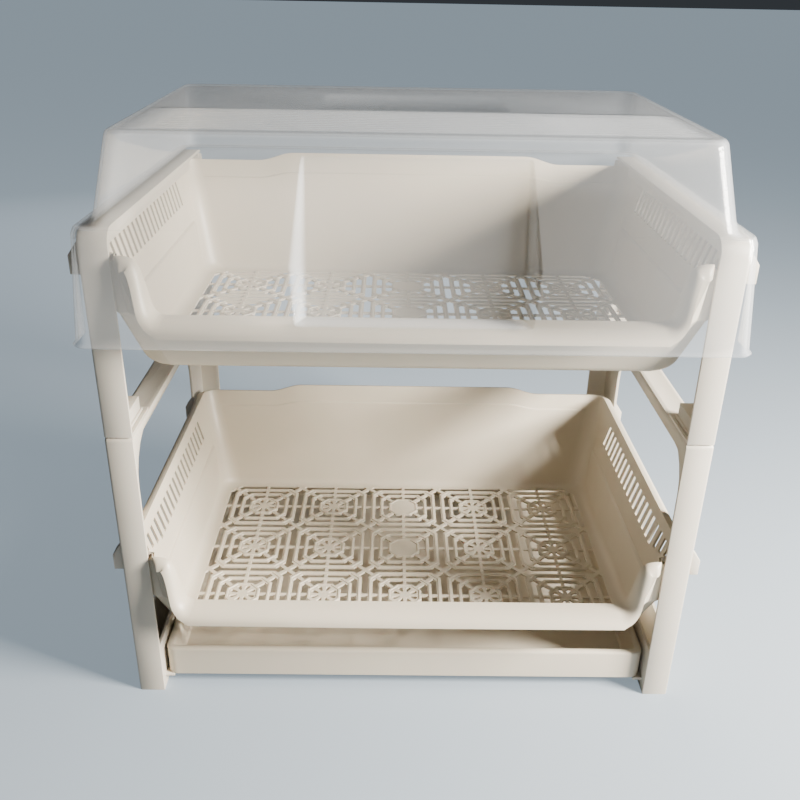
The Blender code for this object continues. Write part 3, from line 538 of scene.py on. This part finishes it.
def moulding_group():
    """Cloudy colour, uneven gloss and the fine grain of moulded plastic."""
    found = bpy.data.node_groups.get("moulding")
    if found:
        return found
    tree, into, out = node_group(
        "moulding",
        (("Light", "NodeSocketColor", (0.7, 0.65, 0.55, 1)),
         ("Dark", "NodeSocketColor", (0.6, 0.55, 0.45, 1)),
         ("Gloss Low", "NodeSocketFloat", 0.35), ("Gloss High", "NodeSocketFloat", 0.48)),
        (("Colour", "NodeSocketColor"), ("Roughness", "NodeSocketFloat"), ("Normal", "NodeSocketVector")))
    place = tree.nodes.new("ShaderNodeTexCoord").outputs["Object"]
    clouds = noise_node(tree, place, CLOUD_SCALE)
    flow = noise_node(tree, place, FLOW_SCALE, 5.0)
    grain = noise_node(tree, place, GRAIN_SCALE, 2.0)
    swirl = tree.nodes.new("ShaderNodeMath")
    swirl.operation = "MULTIPLY_ADD"
    swirl.inputs[1].default_value = FLOW_WEIGHT
    colour = tree.nodes.new("ShaderNodeMix")
    colour.data_type = "RGBA"
    ramp = range_node(tree, swirl.outputs[0], start=0.45, end=0.90)
    gloss = range_node(tree, flow)
    bump = tree.nodes.new("ShaderNodeBump")
    set_inputs(bump, {"Strength": 0.10, "Distance": 0.0001})
    wire(tree,
         (flow, swirl.inputs[0]),
         (clouds, swirl.inputs[2]),
         (ramp.outputs["Result"], colour.inputs["Factor"]),
         (into.outputs["Light"], colour.inputs["A"]),
         (into.outputs["Dark"], colour.inputs["B"]),
         (into.outputs["Gloss Low"], gloss.inputs["To Min"]),
         (into.outputs["Gloss High"], gloss.inputs["To Max"]),
         (grain, bump.inputs["Height"]),
         (colour.outputs["Result"], out.inputs["Colour"]),
         (gloss.outputs["Result"], out.inputs["Roughness"]),
         (bump.outputs["Normal"], out.inputs["Normal"]))
    return tree


def cream_plastic(part):
    """Satin cream polypropylene for the frame or for a tray."""
    name = f"{part}_plastic_look"
    found = bpy.data.materials.get(name)
    if found:
        return found
    look = bpy.context.scene.rack_plastic
    colour = getattr(look, f"{part}_colour")
    material, tree, shader = new_material(name)
    group = tree.nodes.new("ShaderNodeGroup")
    group.node_tree = moulding_group()
    set_inputs(group, {"Light": (*colour, 1), "Dark": (*[channel * DARK_SHARE for channel in colour], 1),
                       "Gloss Low": look.satin - GLOSS_BELOW, "Gloss High": look.satin + GLOSS_ABOVE})
    set_inputs(shader, {"IOR": PLASTIC_IOR, "Subsurface Weight": 0.06, "Subsurface Scale": 0.002})
    wire(tree,
         (group.outputs["Colour"], shader.inputs["Base Color"]),
         (group.outputs["Roughness"], shader.inputs["Roughness"]),
         (group.outputs["Normal"], shader.inputs["Normal"]))
    return material


def clear_plastic(look):
    """Milky see-through polypropylene, denser where it is seen edge on."""
    material, tree, shader = new_material("milky_cover")
    set_inputs(shader, {"Base Color": (*look.cover_colour, 1), "IOR": PLASTIC_IOR,
                        "Coat Weight": 1.0, "Coat Roughness": 0.04, "Coat IOR": 1.8})
    place = tree.nodes.new("ShaderNodeTexCoord").outputs["Object"]
    cloud = noise_node(tree, place, VEIL_SCALE)
    facing = tree.nodes.new("ShaderNodeLayerWeight")
    set_inputs(facing, {"Blend": 0.15})
    edge = range_node(tree, facing.outputs["Facing"], look.haze, look.edge_haze)
    mottle = range_node(tree, cloud, 0.85, 1.15)
    gloss = range_node(tree, cloud, 0.16, 0.30)
    veil = tree.nodes.new("ShaderNodeMath")
    veil.operation = "MULTIPLY"
    wire(tree,
         (edge.outputs["Result"], veil.inputs[0]),
         (mottle.outputs["Result"], veil.inputs[1]),
         (veil.outputs[0], shader.inputs["Alpha"]),
         (gloss.outputs["Result"], shader.inputs["Roughness"]))
    return material


class RACK_OT_stage(bpy.types.Operator):
    """Set up the camera, the soft lights and the pale floor"""

    bl_idname = "dish_rack.stage"
    bl_label = "Stage"

    def execute(self, context):
        look = context.scene.rack_stage
        camera = linked("camera", bpy.data.cameras.new("camera"))
        camera.data.lens = look.lens
        camera.data.sensor_width = SENSOR_WIDTH
        flat = math.cos(look.pitch)
        forward = Vector((math.sin(look.yaw) * flat, math.cos(look.yaw) * flat, -math.sin(look.pitch)))
        level = Vector((math.cos(look.yaw), -math.sin(look.yaw), 0.0))
        upright = level.cross(forward)
        right = level * math.cos(look.roll) + upright * math.sin(look.roll)
        up = upright * math.cos(look.roll) - level * math.sin(look.roll)
        turn = Matrix((right, up, -forward)).transposed()
        camera.matrix_world = Matrix.Translation(look.camera_place) @ turn.to_4x4()
        context.scene.camera = camera

        self.light("key", KEY_PLACE, KEY_SIZE, look.key_power).data.color = look.key_colour
        self.light("top", TOP_PLACE, SOFT_SIZE, look.fill_power)
        self.light("back", BACK_PLACE, SOFT_SIZE, look.back_power).visible_glossy = False

        shape = bmesh.new()
        bmesh.ops.create_grid(shape, x_segments=1, y_segments=1, size=FLOOR_HALF)
        floor = linked("floor", as_mesh(shape, "floor"))
        material, tree, shader = new_material("floor")
        set_inputs(shader, {"Base Color": (*look.floor_colour, 1), "Roughness": 0.6,
                            "Emission Color": (*look.glow_colour, 1)})
        path = tree.nodes.new("ShaderNodeLightPath")
        tree.links.new(path.outputs["Is Camera Ray"], shader.inputs["Emission Strength"])
        floor.data.materials.append(material)

        world = bpy.data.worlds.new("studio")
        world.use_nodes = True
        set_inputs(world.node_tree.nodes["Background"], {"Color": SKY_COLOUR, "Strength": look.sky})
        context.scene.world = world
        return {"FINISHED"}

    def light(self, name, place, size, power):
        lamp = bpy.data.lights.new(name, "AREA")
        lamp.size = size
        lamp.energy = power
        thing = linked(name, lamp)
        aim = Vector(LIGHT_AIM) - Vector(place)
        thing.matrix_world = Matrix.Translation(place) @ aim.to_track_quat("-Z", "Y").to_matrix().to_4x4()
        return thing


class RACK_OT_frames(bpy.types.Operator):
    """Finish the side frames, the leg connectors and the locking pins with fine moulded edges"""

    bl_idname = "dish_rack.frames"
    bl_label = "Frames and pins"

    def execute(self, context):
        sizes = context.scene.rack_frames
        words = ("side_frame", "leg_connector", "locking_pin")
        for name, node in sorted(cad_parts.items()):
            if not name.endswith(words):
                continue
            shape = bmesh.new()
            shape.from_mesh(node.data)
            bmesh.ops.remove_doubles(shape, verts=shape.verts, dist=MERGE_DISTANCE)
            bmesh.ops.dissolve_limit(shape, angle_limit=FLAT_ANGLE, verts=shape.verts, edges=shape.edges)
            sharp = [edge for edge in shape.edges
                     if edge.is_manifold and edge.calc_face_angle() > SMOOTH_ANGLE]
            bmesh.ops.bevel(shape, geom=sharp, offset=sizes.edge, segments=sizes.edge_steps, profile=0.5,
                            affect="EDGES", material=-1, clamp_overlap=True)
            mesh = as_mesh(shape, name)
            finished(f"{name}_moulding", mesh, cream_plastic("frame"), "frame_plastic", "rack", name)
        return {"FINISHED"}


class RACK_OT_trays(bpy.types.Operator):
    """Mould both trays: walls, rolled lip, pierced floor, slotted sides and pin bosses"""

    bl_idname = "dish_rack.trays"
    bl_label = "Trays"

    def execute(self, context):
        self.sizes = context.scene.rack_trays
        sizes = self.sizes
        self.floor_half = TRAY_TOP_HALF - sizes.side_lean
        self.floor_front = LEG_FRONT + sizes.front_lean
        self.floor_back = TRAY_BACK - sizes.front_lean
        self.curve_start = CURVE_END - CURVE_WIDTH
        self.shoulder = sizes.side_height - SHOULDER_DROP

        shape = bmesh.new()
        loft(shape, self.front() + self.front_corner() + self.back())
        bmesh.ops.mirror(shape, geom=shape.verts[:] + shape.edges[:] + shape.faces[:], axis="X",
                         merge_dist=MERGE_DISTANCE)
        bmesh.ops.remove_doubles(shape, verts=shape.verts, dist=MERGE_DISTANCE)
        face_towards(shape, SIDE_LOOKS, (TRAY_TOP_HALF, 0.0, sizes.side_height * SIDE_LOOK_SHARE))
        shell = walled(as_mesh(shape, "tray_shell"), sizes.wall, self.side_slots())

        plate = curve_mesh(self.floor_outlines(), True, sizes.wall / 2 - sizes.rib_round,
                           sizes.rib_round, -sizes.wall / 2 - FLOOR_STEP)
        ridges = curve_mesh(self.ridge_outlines(), False, 0.0, sizes.ridge, sizes.ridge_rise - sizes.ridge)
        for tier in ("lower", "upper"):
            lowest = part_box(f"{tier}_tray")[0].z
            whole = bmesh.new()
            for mesh in (shell, plate, ridges):
                whole.from_mesh(mesh)
            add_boxes(whole, self.bosses())
            mesh = as_mesh(whole, f"{tier}_tray_look")
            mesh.transform(Matrix.Translation((0.0, 0.0, lowest + sizes.wall)))
            finished(f"{tier}_tray_moulding", mesh, cream_plastic("tray"), "tray_plastic", "rack", f"{tier}_tray")
        return {"FINISHED"}

    def column(self, foot, fillet, inward, mid, top, reach, drop, ledge=0.0, crest_step=0.0):
        """One upright section of the wall, from the floor round the fillet and up to the rolled rim."""
        foot = Vector((*foot, 0.0))
        inward = Vector((*inward, 0.0))
        mid, top = Vector(mid), Vector(top)
        rise = (mid - foot).normalized()
        up = (top - mid).normalized()
        start = foot + inward * fillet
        end = foot + rise * fillet
        points = [start.lerp(foot, share).lerp(foot.lerp(end, share), share)
                  for share in shares(FILLET_STEPS)]
        points += [mid - rise * LEDGE_RISE + inward * ledge, mid + inward * ledge * LEDGE_TOP_SHARE,
                   mid + up * LEDGE_RISE]
        step = mid.lerp(top, CREST_STEP_SHARE)
        points += [step + inward * crest_step, step + up * LEDGE_RISE, top]
        for share in shares(FILLET_STEPS)[1:]:
            angle = math.pi / 2 * share
            points.append(top + reach * math.sin(angle) + drop * (1 - math.cos(angle)))
        return points

    def wall_x(self, height):
        return self.floor_half + self.sizes.side_lean * height / self.sizes.side_height

    def front(self):
        sizes = self.sizes
        floor_end = self.floor_half - FLOOR_CORNER
        rim = smooth_line(CURVE_SHARES, CURVE_STEPS)
        places = [(self.curve_start + across * CURVE_WIDTH,
                   blend(sizes.front_height, self.shoulder, up), out) for across, up, out in rim]
        mid_y = blend(self.floor_front, LEG_FRONT, MID_HEIGHT_SHARE)
        columns = [self.column((0.0, self.floor_front), FRONT_FILLET, (0, 1),
                               (0.0, mid_y, sizes.front_height * MID_HEIGHT_SHARE),
                               (0.0, LEG_FRONT, sizes.front_height), Vector((0, -sizes.lip_reach, 0)),
                               Vector((0, 0, -sizes.lip_drop)))]
        for index, (across, height, out) in enumerate(places):
            before = places[max(index - 1, 0)]
            after = places[min(index + 1, len(places) - 1)]
            along = Vector((after[0] - before[0], after[1] - before[1])).normalized()
            share = index / (len(places) - 1)
            past_end = (across - self.curve_start) / CURVE_WIDTH - LIP_END_START
            past_end = max(past_end, 0.0) / (1 - LIP_END_START)
            rounded = math.sqrt(max(1 - past_end ** 2, LIP_END_LEAST))
            thinning = 1 - LIP_THINNING * math.sin(math.pi * share)
            drop = sizes.lip_drop * thinning * blend(LIP_END_DROP, 1.0, rounded)
            foot_x = blend(blend(self.curve_start, floor_end, 0.5), floor_end, share)
            mid_height = min(sizes.front_height, height * MID_HEIGHT_SHARE)
            mid_y = blend(self.floor_front, LEG_FRONT, mid_height / sizes.front_height)
            columns.append(self.column(
                (foot_x, self.floor_front), FRONT_FILLET, (0, 1),
                (blend(foot_x, across, MID_HEIGHT_SHARE), mid_y, mid_height), (across, LEG_FRONT, height),
                Vector((0, -sizes.lip_reach * out * rounded, 0)), Vector((along[1], 0, -along[0])) * drop))
        return columns

    def front_corner(self):
        sizes = self.sizes
        skin = LEG_FRONT + LEG_CLEARANCE
        centre = (self.floor_half - FLOOR_CORNER, self.floor_front + FLOOR_CORNER)
        table = smooth_line(FRONT_CORNER_SHARES, CURVE_STEPS)
        first = 1 / len(FRONT_CORNER_SHARES)
        side_x = self.wall_x(sizes.front_height)
        columns = []
        for index, (across, back, up, out, forward) in enumerate(table):
            share = blend(first, 1.0, index / (len(table) - 1))
            angle = math.radians(90 * share - 90)
            turn = (math.cos(angle), math.sin(angle))
            foot = (centre[0] + FLOOR_CORNER * turn[0], centre[1] + FLOOR_CORNER * turn[1])
            top_x = blend(CURVE_END, TRAY_TOP_HALF, across)
            top_y = skin + FRONT_CORNER_DEPTH * back
            mid_x = blend(min(blend(foot[0], top_x, MID_HEIGHT_SHARE), side_x), side_x, share)
            columns.append(self.column(
                foot, blend(FRONT_FILLET, SIDE_FILLET, share), (-turn[0], -turn[1]),
                (mid_x, top_y, sizes.front_height),
                (top_x, top_y, blend(self.shoulder, sizes.side_height, up)),
                Vector((FLANGE_WIDTH * out, -FLANGE_WIDTH * forward, 0)), Vector((0, 0, -FLANGE_DROP)),
                sizes.ledge * share))
        return columns

    def back(self):
        sizes = self.sizes
        mid_back = blend(self.floor_back, TRAY_BACK, sizes.front_height / sizes.side_height)
        mid_corner = (FLOOR_CORNER + TOP_CORNER) / 2
        side_x = self.wall_x(sizes.front_height)
        back_end = sizes.side_height - BACK_END_DROP
        columns = []
        for share in shares(CORNER_STEPS):
            turn = (math.cos(math.pi / 2 * share), math.sin(math.pi / 2 * share))
            left, behind = 1 - turn[0], 1 - turn[1]
            columns.append(self.column(
                (self.floor_half - FLOOR_CORNER * left, self.floor_back - FLOOR_CORNER * behind),
                blend(SIDE_FILLET, BACK_FILLET, share), (-turn[0], -turn[1]),
                (side_x - mid_corner * left, mid_back - mid_corner * behind, sizes.front_height),
                (TRAY_TOP_HALF - TOP_CORNER * left, TRAY_BACK - TOP_CORNER * behind,
                 blend(sizes.side_height, back_end, share)),
                Vector((FLANGE_WIDTH * turn[0], BACK_FLANGE_WIDTH * turn[1], 0)),
                Vector((0, 0, -FLANGE_DROP)), sizes.ledge * (share == 0), sizes.crest_step * share))
        crest = sizes.side_height + BACK_CREST_RISE
        slope = [(CREST_HALF_WIDTH + CREST_SLOPE_WIDTH * (1 - share), (1 - math.cos(math.pi * share)) / 2)
                 for share in shares(CORNER_STEPS)]
        for across, lift in slope + [(0.0, 1.0)]:
            columns.append(self.column(
                (across, self.floor_back), BACK_FILLET, (0, -1), (across, mid_back, sizes.front_height),
                (across, TRAY_BACK, blend(back_end, crest, lift)), Vector((0, BACK_FLANGE_WIDTH, 0)),
                Vector((0, 0, -FLANGE_DROP)), 0.0, sizes.crest_step))
        return columns

    def side_slots(self):
        """Slanted bars through both side walls; the first few start higher, over the pin bosses."""
        sizes = self.sizes
        top = sizes.side_height - SIDE_SLOT_TOP_GAP
        bottom = top - sizes.side_slot_length
        first, last = LEG_FRONT + SIDE_SLOT_FRONT_GAP, TRAY_BACK - SIDE_SLOT_BACK_GAP
        reach = TRAY_TOP_HALF + OVERRUN
        half = sizes.side_slot / 2
        shape = bmesh.new()
        for index in range(sizes.side_slots):
            place = blend(first, last, index / (sizes.side_slots - 1))
            short = max(SHORT_SLOTS - index, 0) * SHORT_SLOT_STEP
            add_boxes(shape, [((-reach, reach), (place - half, place + half), (bottom + short, top))])
        for vertex in shape.verts:
            vertex.co.y -= sizes.slant * (vertex.co.z - (bottom + top) / 2) / sizes.side_slot_length
        return as_mesh(shape, "side_slots")

    def cells(self):
        """Middle of each cell of the floor pattern, with its column and row."""
        sizes = self.sizes
        front = self.floor_front + PATTERN_START
        for column in range(CELLS_ACROSS):
            for row in range(CELLS_DEEP):
                across = (column - (CELLS_ACROSS - 1) / 2) * sizes.cell
                yield column, row, across, front + (row + 0.5) * sizes.cell

    def turned(self, centre, outline, quarter):
        """An outline that looks to the back, turned by quarters to the left and moved to a centre."""
        cosine, sine = ((1, 0), (0, 1), (-1, 0), (0, -1))[quarter]
        return [(centre[0] + x * cosine - y * sine, centre[1] + x * sine + y * cosine) for x, y in outline]

    def ring_edge(self, size_share, cut_share):
        """Half of one edge of a ring's back side, from the rib in the middle to the one on the diagonal."""
        size, cut = size_share * self.sizes.cell, cut_share * self.sizes.cell
        turn = (cut - self.sizes.diagonal) / 2
        return [(self.sizes.split / 2, size), (size - cut, size), (size - cut + turn, size - turn)]

    def ring_slot(self, outer, outer_cut, inner, inner_cut):
        """The slot between the two edges of a ring."""
        return self.ring_edge(outer, outer_cut) + self.ring_edge(inner, inner_cut)[::-1]

    def edge_slot(self, open_side, at_corner):
        """Half of the slot on a cell's back edge; it ends in a point at the cross between four cells."""
        if at_corner:
            return self.ring_slot(*PATTERN_EDGE, *BORDER_RING)
        near = self.ring_edge(*BORDER_RING)
        line, rib = self.sizes.cell / 2, self.sizes.diagonal
        tip = (line - rib, line)
        if open_side:
            reach = PATTERN_EDGE[0] * self.sizes.cell
            return near + [tip, (line - rib - (reach - line), reach), (self.sizes.split / 2, reach)]
        return near + [tip] + [(x, 2 * line - y) for x, y in reversed(near)]

    def petals(self):
        """The eight holes of a medallion round its middle."""
        cell = self.sizes.cell
        outline = [(x * cell, -y * cell) for x, y in PETAL] + [(x * cell, y * cell) for x, y in PETAL[-2::-1]]
        for petal in range(PETALS):
            angle = math.pi * (2 * petal + 1) / PETALS
            yield [(x * math.cos(angle) - y * math.sin(angle), x * math.sin(angle) + y * math.cos(angle))
                   for x, y in outline]

    def floor_outlines(self):
        """The floor plate's edge and every opening in it."""
        half = self.floor_half - SIDE_FILLET + PANEL_OVERLAP
        front = self.floor_front + FRONT_FILLET - PANEL_OVERLAP
        back = self.floor_back - BACK_FILLET + PANEL_OVERLAP
        corner = FLOOR_CORNER - SIDE_FILLET
        middles = ((half - corner, front + corner), (half - corner, back - corner),
                   (corner - half, back - corner), (corner - half, front + corner))
        outlines = [[point for turn, middle in enumerate(middles)
                     for point in arc(middle, corner, 90 * turn - 90, 90 * turn, FILLET_STEPS)]]
        for column, row, across, along in self.cells():
            edges = (row == CELLS_DEEP - 1, column == 0, row == 0, column == CELLS_ACROSS - 1)
            if (column, row) not in SOLID_MEDALLIONS:
                for petal in self.petals():
                    outlines.append([(across + x, along + y) for x, y in petal])
            for quarter in range(4):
                for way in SIDES:
                    slots = [self.ring_slot(*ring) for ring in SLOT_RINGS]
                    if edges[quarter] or quarter in (0, 3):
                        beside = edges[(quarter - way) % 4]
                        slots.append(self.edge_slot(edges[quarter], edges[quarter] and beside))
                    for slot in slots:
                        sided = [(x * way, y) for x, y in slot]
                        outlines.append(self.turned((across, along), sided, quarter))
        return outlines

    def ridge_outlines(self):
        """Octagons of the round ridges that run along the ribs of every cell."""
        outlines = []
        for _, _, across, along in self.cells():
            for size_share, cut_share in RIDGE_RINGS:
                size, length = size_share * self.sizes.cell, (size_share - cut_share) * self.sizes.cell
                octagon = []
                for quarter in range(4):
                    octagon += self.turned((across, along), [(length, size), (-length, size)], quarter)
                outlines.append(octagon)
        return outlines

    def bosses(self):
        """Blocks outside the walls that take the locking pins."""
        height = (FRONT_PIN[0].z + BOSS_RISE) - (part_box("lower_tray")[0].z + self.sizes.wall)
        inner = self.wall_x(height) + self.sizes.wall / 2
        return [(span(inner, HALF_WIDTH - BOSS_GAP, side),
                 (place - BOSS_HALF_WIDTH, place + BOSS_HALF_WIDTH),
                 (height - BOSS_HALF_HEIGHT, height + BOSS_HALF_HEIGHT))
                for side in SIDES for place in PIN_PLACES]


def ring_line(half_front, half_back, front, back, corner, height, middle=((0.0, 0.0),)):
    """A closed rounded outline. Middle gives the front's points as place across and depth sunk in."""
    half = [(across, front + sunk) for across, sunk in middle]
    half += arc((half_front - corner, front + corner), corner, -90, 0, CORNER_STEPS)
    half += arc((half_back - corner, back - corner), corner, 0, 90, CORNER_STEPS)
    half.append((0.0, back))
    whole = half + [(-across, along) for across, along in reversed(half[1:-1])]
    return [(across, along, height) for across, along in whole]


class RACK_OT_drip_tray(bpy.types.Operator):
    """Mould the shallow drip tray with its hollow rounded rim"""

    bl_idname = "dish_rack.drip_tray"
    bl_label = "Drip tray"

    def execute(self, context):
        sizes = context.scene.rack_drip_tray
        low, high = DRIP_BOX
        lift = low.z + sizes.floor_lift
        inner = sizes.rim + DRIP_WALL_LEAN
        section = [(inner + DRIP_WALL_FOOT, lift), (inner, lift + DRIP_WALL_FOOT)]
        section += arc((sizes.rim - sizes.edge, high.z - sizes.edge), sizes.edge, 0, 90, RIM_STEPS)
        section += arc((sizes.edge, high.z - sizes.edge), sizes.edge, 90, 180, RIM_STEPS)
        section.append((0.0, low.z))
        lines = [ring_line(high.x - inset, high.x - inset, low.y + inset, high.y - inset,
                           max(sizes.corner - inset, LEAST_CORNER), height) for inset, height in section]
        shape = bmesh.new()
        loft(shape, lines, closed=True)
        floor = [edge for edge in shape.edges if edge.is_boundary
                 and all(abs(vertex.co.z - lift) < MERGE_DISTANCE for vertex in edge.verts)]
        bmesh.ops.contextual_create(shape, geom=floor)
        face_towards(shape, (0, 0, 1), (0.0, 0.0, lift))
        mesh = walled(as_mesh(shape, "drip_tray_look"), sizes.wall)
        finished("drip_tray_moulding", mesh, cream_plastic("tray"), "tray_plastic", "drip_tray", "drip_tray")
        return {"FINISHED"}


class RACK_OT_cover(bpy.types.Operator):
    """Mould the see-through cover: skirt, shoulder, hand-hold, fine ridges and a bare raised panel"""

    bl_idname = "dish_rack.cover"
    bl_label = "Cover"

    def execute(self, context):
        self.sizes = context.scene.rack_cover
        shape = bmesh.new()
        edges = loft(shape, self.lines(), closed=True)
        top = bmesh.ops.contextual_create(shape, geom=edges)["faces"]
        self.dress_top(shape, top)
        face_towards(shape, (0, 0, 1), (0.0, 0.0, COVER_BOX[1].z))
        mesh = walled(as_mesh(shape, "cover_look"), self.sizes.wall, self.notches())
        material = clear_plastic(context.scene.rack_plastic)
        finished("cover_moulding", mesh, material, "cover_plastic", "cover", "cover")
        return {"FINISHED"}

    def lines(self):
        """Outlines from the skirt's lip up to the top."""
        wall = self.sizes.wall
        low, high = COVER_BOX
        lip_top = low.z + COVER_LIP
        skirt_half = HALF_WIDTH + COVER_SKIRT_GAP + wall
        skirt_back = high.y - COVER_BACK_FLARE - COVER_LIP
        shoulder = RAIL_TOP + SHOULDER_GAP + wall
        wall_foot = shoulder + COVER_SHOULDER_HEIGHT
        foot_half = skirt_half - COVER_SHOULDER_WIDTH - COVER_LIP
        foot_back = skirt_back - COVER_SHOULDER_WIDTH
        sections = []

        def front_at(height):
            return low.y + COVER_LIP + COVER_FRONT_LEAN * (height - lip_top) / (high.z - lip_top)

        def upper(height, inset=0.0):
            share = (height - wall_foot) / (high.z - wall_foot)
            sections.append((foot_half - COVER_SIDE_LEAN_FRONT * share - inset,
                             foot_half - COVER_SIDE_LEAN_BACK * share - inset, front_at(height) + inset,
                             foot_back - COVER_BACK_LEAN * share - inset, COVER_UPPER_CORNER, height))

        for share in shares(FILLET_STEPS):
            turn = math.pi / 2 * share
            upper(high.z - COVER_TOP_ROUND * (1 - math.cos(turn)), COVER_TOP_ROUND * (1 - math.sin(turn)))
        upper(SCOOP_TOP)
        for share in SCOOP_SECTION_SHARES:
            upper(blend(SCOOP_TOP, wall_foot, share))
        for out, left in smooth_line(SHOULDER_SHARES, RIM_STEPS):
            height = shoulder + COVER_SHOULDER_HEIGHT * left
            half = blend(foot_half, skirt_half, out)
            sections.append((half, half, front_at(height), blend(foot_back, skirt_back, out),
                             blend(COVER_UPPER_CORNER, COVER_LOWER_CORNER, out), height))
        skirt_top = sections[-1][-1]
        for height in (SCOOP_WIDEST, blend(SCOOP_WIDEST, SCOOP_BOTTOM, 0.5), SCOOP_BOTTOM,
                       SCOOP_BOTTOM - SCOOP_SHELF, lip_top):
            share = (skirt_top - height) / (skirt_top - lip_top)
            half = skirt_half + COVER_SKIRT_FLARE * share
            sections.append((half, half, front_at(height), skirt_back + COVER_BACK_FLARE * share,
                             COVER_LOWER_CORNER, height))
        half, _, front, back, corner, _ = sections[-1]
        sections.append((half + COVER_LIP, half + COVER_LIP, front - COVER_LIP, back + COVER_LIP,
                         corner + COVER_LIP, low.z))
        sections.reverse()
        return [ring_line(*section, middle=self.scoop(section[-1])) for section in sections]

    def scoop(self, height):
        """The front's points across the hand-hold at a height."""
        if height >= SCOOP_WIDEST:
            share = min((height - SCOOP_WIDEST) / (SCOOP_TOP - SCOOP_WIDEST), 1.0)
            edge = blend(SCOOP_EDGE_WIDEST, SCOOP_EDGE_TOP, share)
        else:
            share = max((height - SCOOP_BOTTOM) / (SCOOP_WIDEST - SCOOP_BOTTOM), 0.0)
            edge = blend(SCOOP_EDGE_BOTTOM, SCOOP_EDGE_WIDEST, share)
        sunk = 0.0
        if SCOOP_BOTTOM <= height <= SCOOP_TOP:
            share = (SCOOP_TOP - height) / (SCOOP_TOP - SCOOP_BOTTOM)
            sunk = self.sizes.scoop_depth * share ** SCOOP_POWER
        wall = [(blend(SCOOP_FLOOR_HALF, edge, share), sunk * (1 + math.cos(math.pi * share)) / 2)
                for share in shares(CORNER_STEPS)]
        return ((0.0, sunk), *wall)

    def cut(self, shape, faces, place, normal):
        """Cut faces along a plane and return the pieces."""
        geom = set(faces)
        for face in faces:
            geom.update(face.edges)
            geom.update(face.verts)
        made = bmesh.ops.bisect_plane(shape, geom=list(geom), plane_co=place, plane_no=normal,
                                      dist=MERGE_DISTANCE)["geom"]
        return [item for item in made if isinstance(item, bmesh.types.BMFace)]

    def dress_top(self, shape, top):
        """Raise the fine ridges and the bare panel out of the flat top."""
        sizes = self.sizes
        height = COVER_BOX[1].z - TOP_DROP
        for vertex in shape.verts:
            vertex.co.z = min(vertex.co.z, height)
        bmesh.ops.inset_region(shape, faces=top, thickness=TOP_INSET)
        faces = list(top)
        first = min(vertex.co.y for vertex in top[0].verts) + sizes.ridge_pitch
        half = min(abs(vertex.co.x) for vertex in top[0].verts if abs(vertex.co.x) > TOP_CORNER_START)
        half -= RIDGE_END_GAP
        middles = [first + sizes.ridge_pitch * index for index in range(sizes.ridges)]
        for middle in middles:
            for shift in (-sizes.ridge_half, 0.0, sizes.ridge_half):
                faces = self.cut(shape, faces, (0, middle + shift, 0), (0, 1, 0))
        panel_half = sizes.panel_width / 2
        panel_front = sizes.panel_middle - sizes.panel_depth / 2
        panel_back = sizes.panel_middle + sizes.panel_depth / 2
        for along in (panel_front, panel_back):
            faces = self.cut(shape, faces, (0, along, 0), (0, 1, 0))
        for across in (-half, -panel_half, panel_half, half):
            faces = self.cut(shape, faces, (across, 0, 0), (1, 0, 0))
        for vertex in {vertex for face in faces for vertex in face.verts}:
            if abs(vertex.co.x) < half + MERGE_DISTANCE and any(
                    abs(vertex.co.y - middle) < MERGE_DISTANCE for middle in middles):
                vertex.co.z += sizes.ridge_rise
        panel = [face for face in faces
                 if abs(face.calc_center_median().x) < panel_half
                 and panel_front < face.calc_center_median().y < panel_back]
        bmesh.ops.inset_region(shape, faces=panel, thickness=PANEL_EDGE, depth=PANEL_RISE)

    def notches(self):
        """Gaps in the skirt round the pins' heads."""
        sizes = self.sizes
        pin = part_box("upper_front_right_locking_pin")
        half = (pin[1].y - pin[0].y) / 2 + NOTCH_SIDE_GAP
        outer = HALF_WIDTH + COVER_SKIRT_FLARE + COVER_LIP + sizes.wall + OVERRUN
        shape = bmesh.new()
        add_boxes(shape, [(span(HALF_WIDTH - NOTCH_DEPTH, outer, side), (place - half, place + half),
                           (COVER_BOX[0].z - OVERRUN, pin[1].z + NOTCH_TOP_GAP))
                          for side in SIDES for place in PIN_PLACES])
        return as_mesh(shape, "notches")


class RACK_PT_panel(bpy.types.Panel):
    """Builds the dish rack's finished surfaces"""

    bl_idname = "RACK_PT_panel"
    bl_label = "Dish Rack"
    bl_space_type = "VIEW_3D"
    bl_region_type = "UI"
    bl_category = "Dish Rack"

    def draw(self, context):
        for operator in OPERATORS:
            self.layout.operator(operator.bl_idname)
        for name, group in GROUPS.items():
            box = self.layout.box()
            settings = getattr(context.scene, name)
            for setting in group.__annotations__:
                box.prop(settings, setting)


GROUPS = {
    "rack_plastic": PlasticLook,
    "rack_frames": FrameSizes,
    "rack_trays": TraySizes,
    "rack_drip_tray": DripTraySizes,
    "rack_cover": CoverSizes,
    "rack_stage": StageLook,
}
OPERATORS = (RACK_OT_stage, RACK_OT_frames, RACK_OT_trays, RACK_OT_drip_tray, RACK_OT_cover)
CLASSES = (*GROUPS.values(), *OPERATORS, RACK_PT_panel)


def register():
    for item in CLASSES:
        bpy.utils.register_class(item)
    for name, group in GROUPS.items():
        setattr(bpy.types.Scene, name, PointerProperty(type=group))


def unregister():
    for name in GROUPS:
        delattr(bpy.types.Scene, name)
    for item in reversed(CLASSES):
        bpy.utils.unregister_class(item)


def main():
    register()
    bpy.ops.dish_rack.stage()
    bpy.ops.dish_rack.frames()
    bpy.ops.dish_rack.trays()
    bpy.ops.dish_rack.drip_tray()
    bpy.ops.dish_rack.cover()


if __name__ == "__main__":
    main()
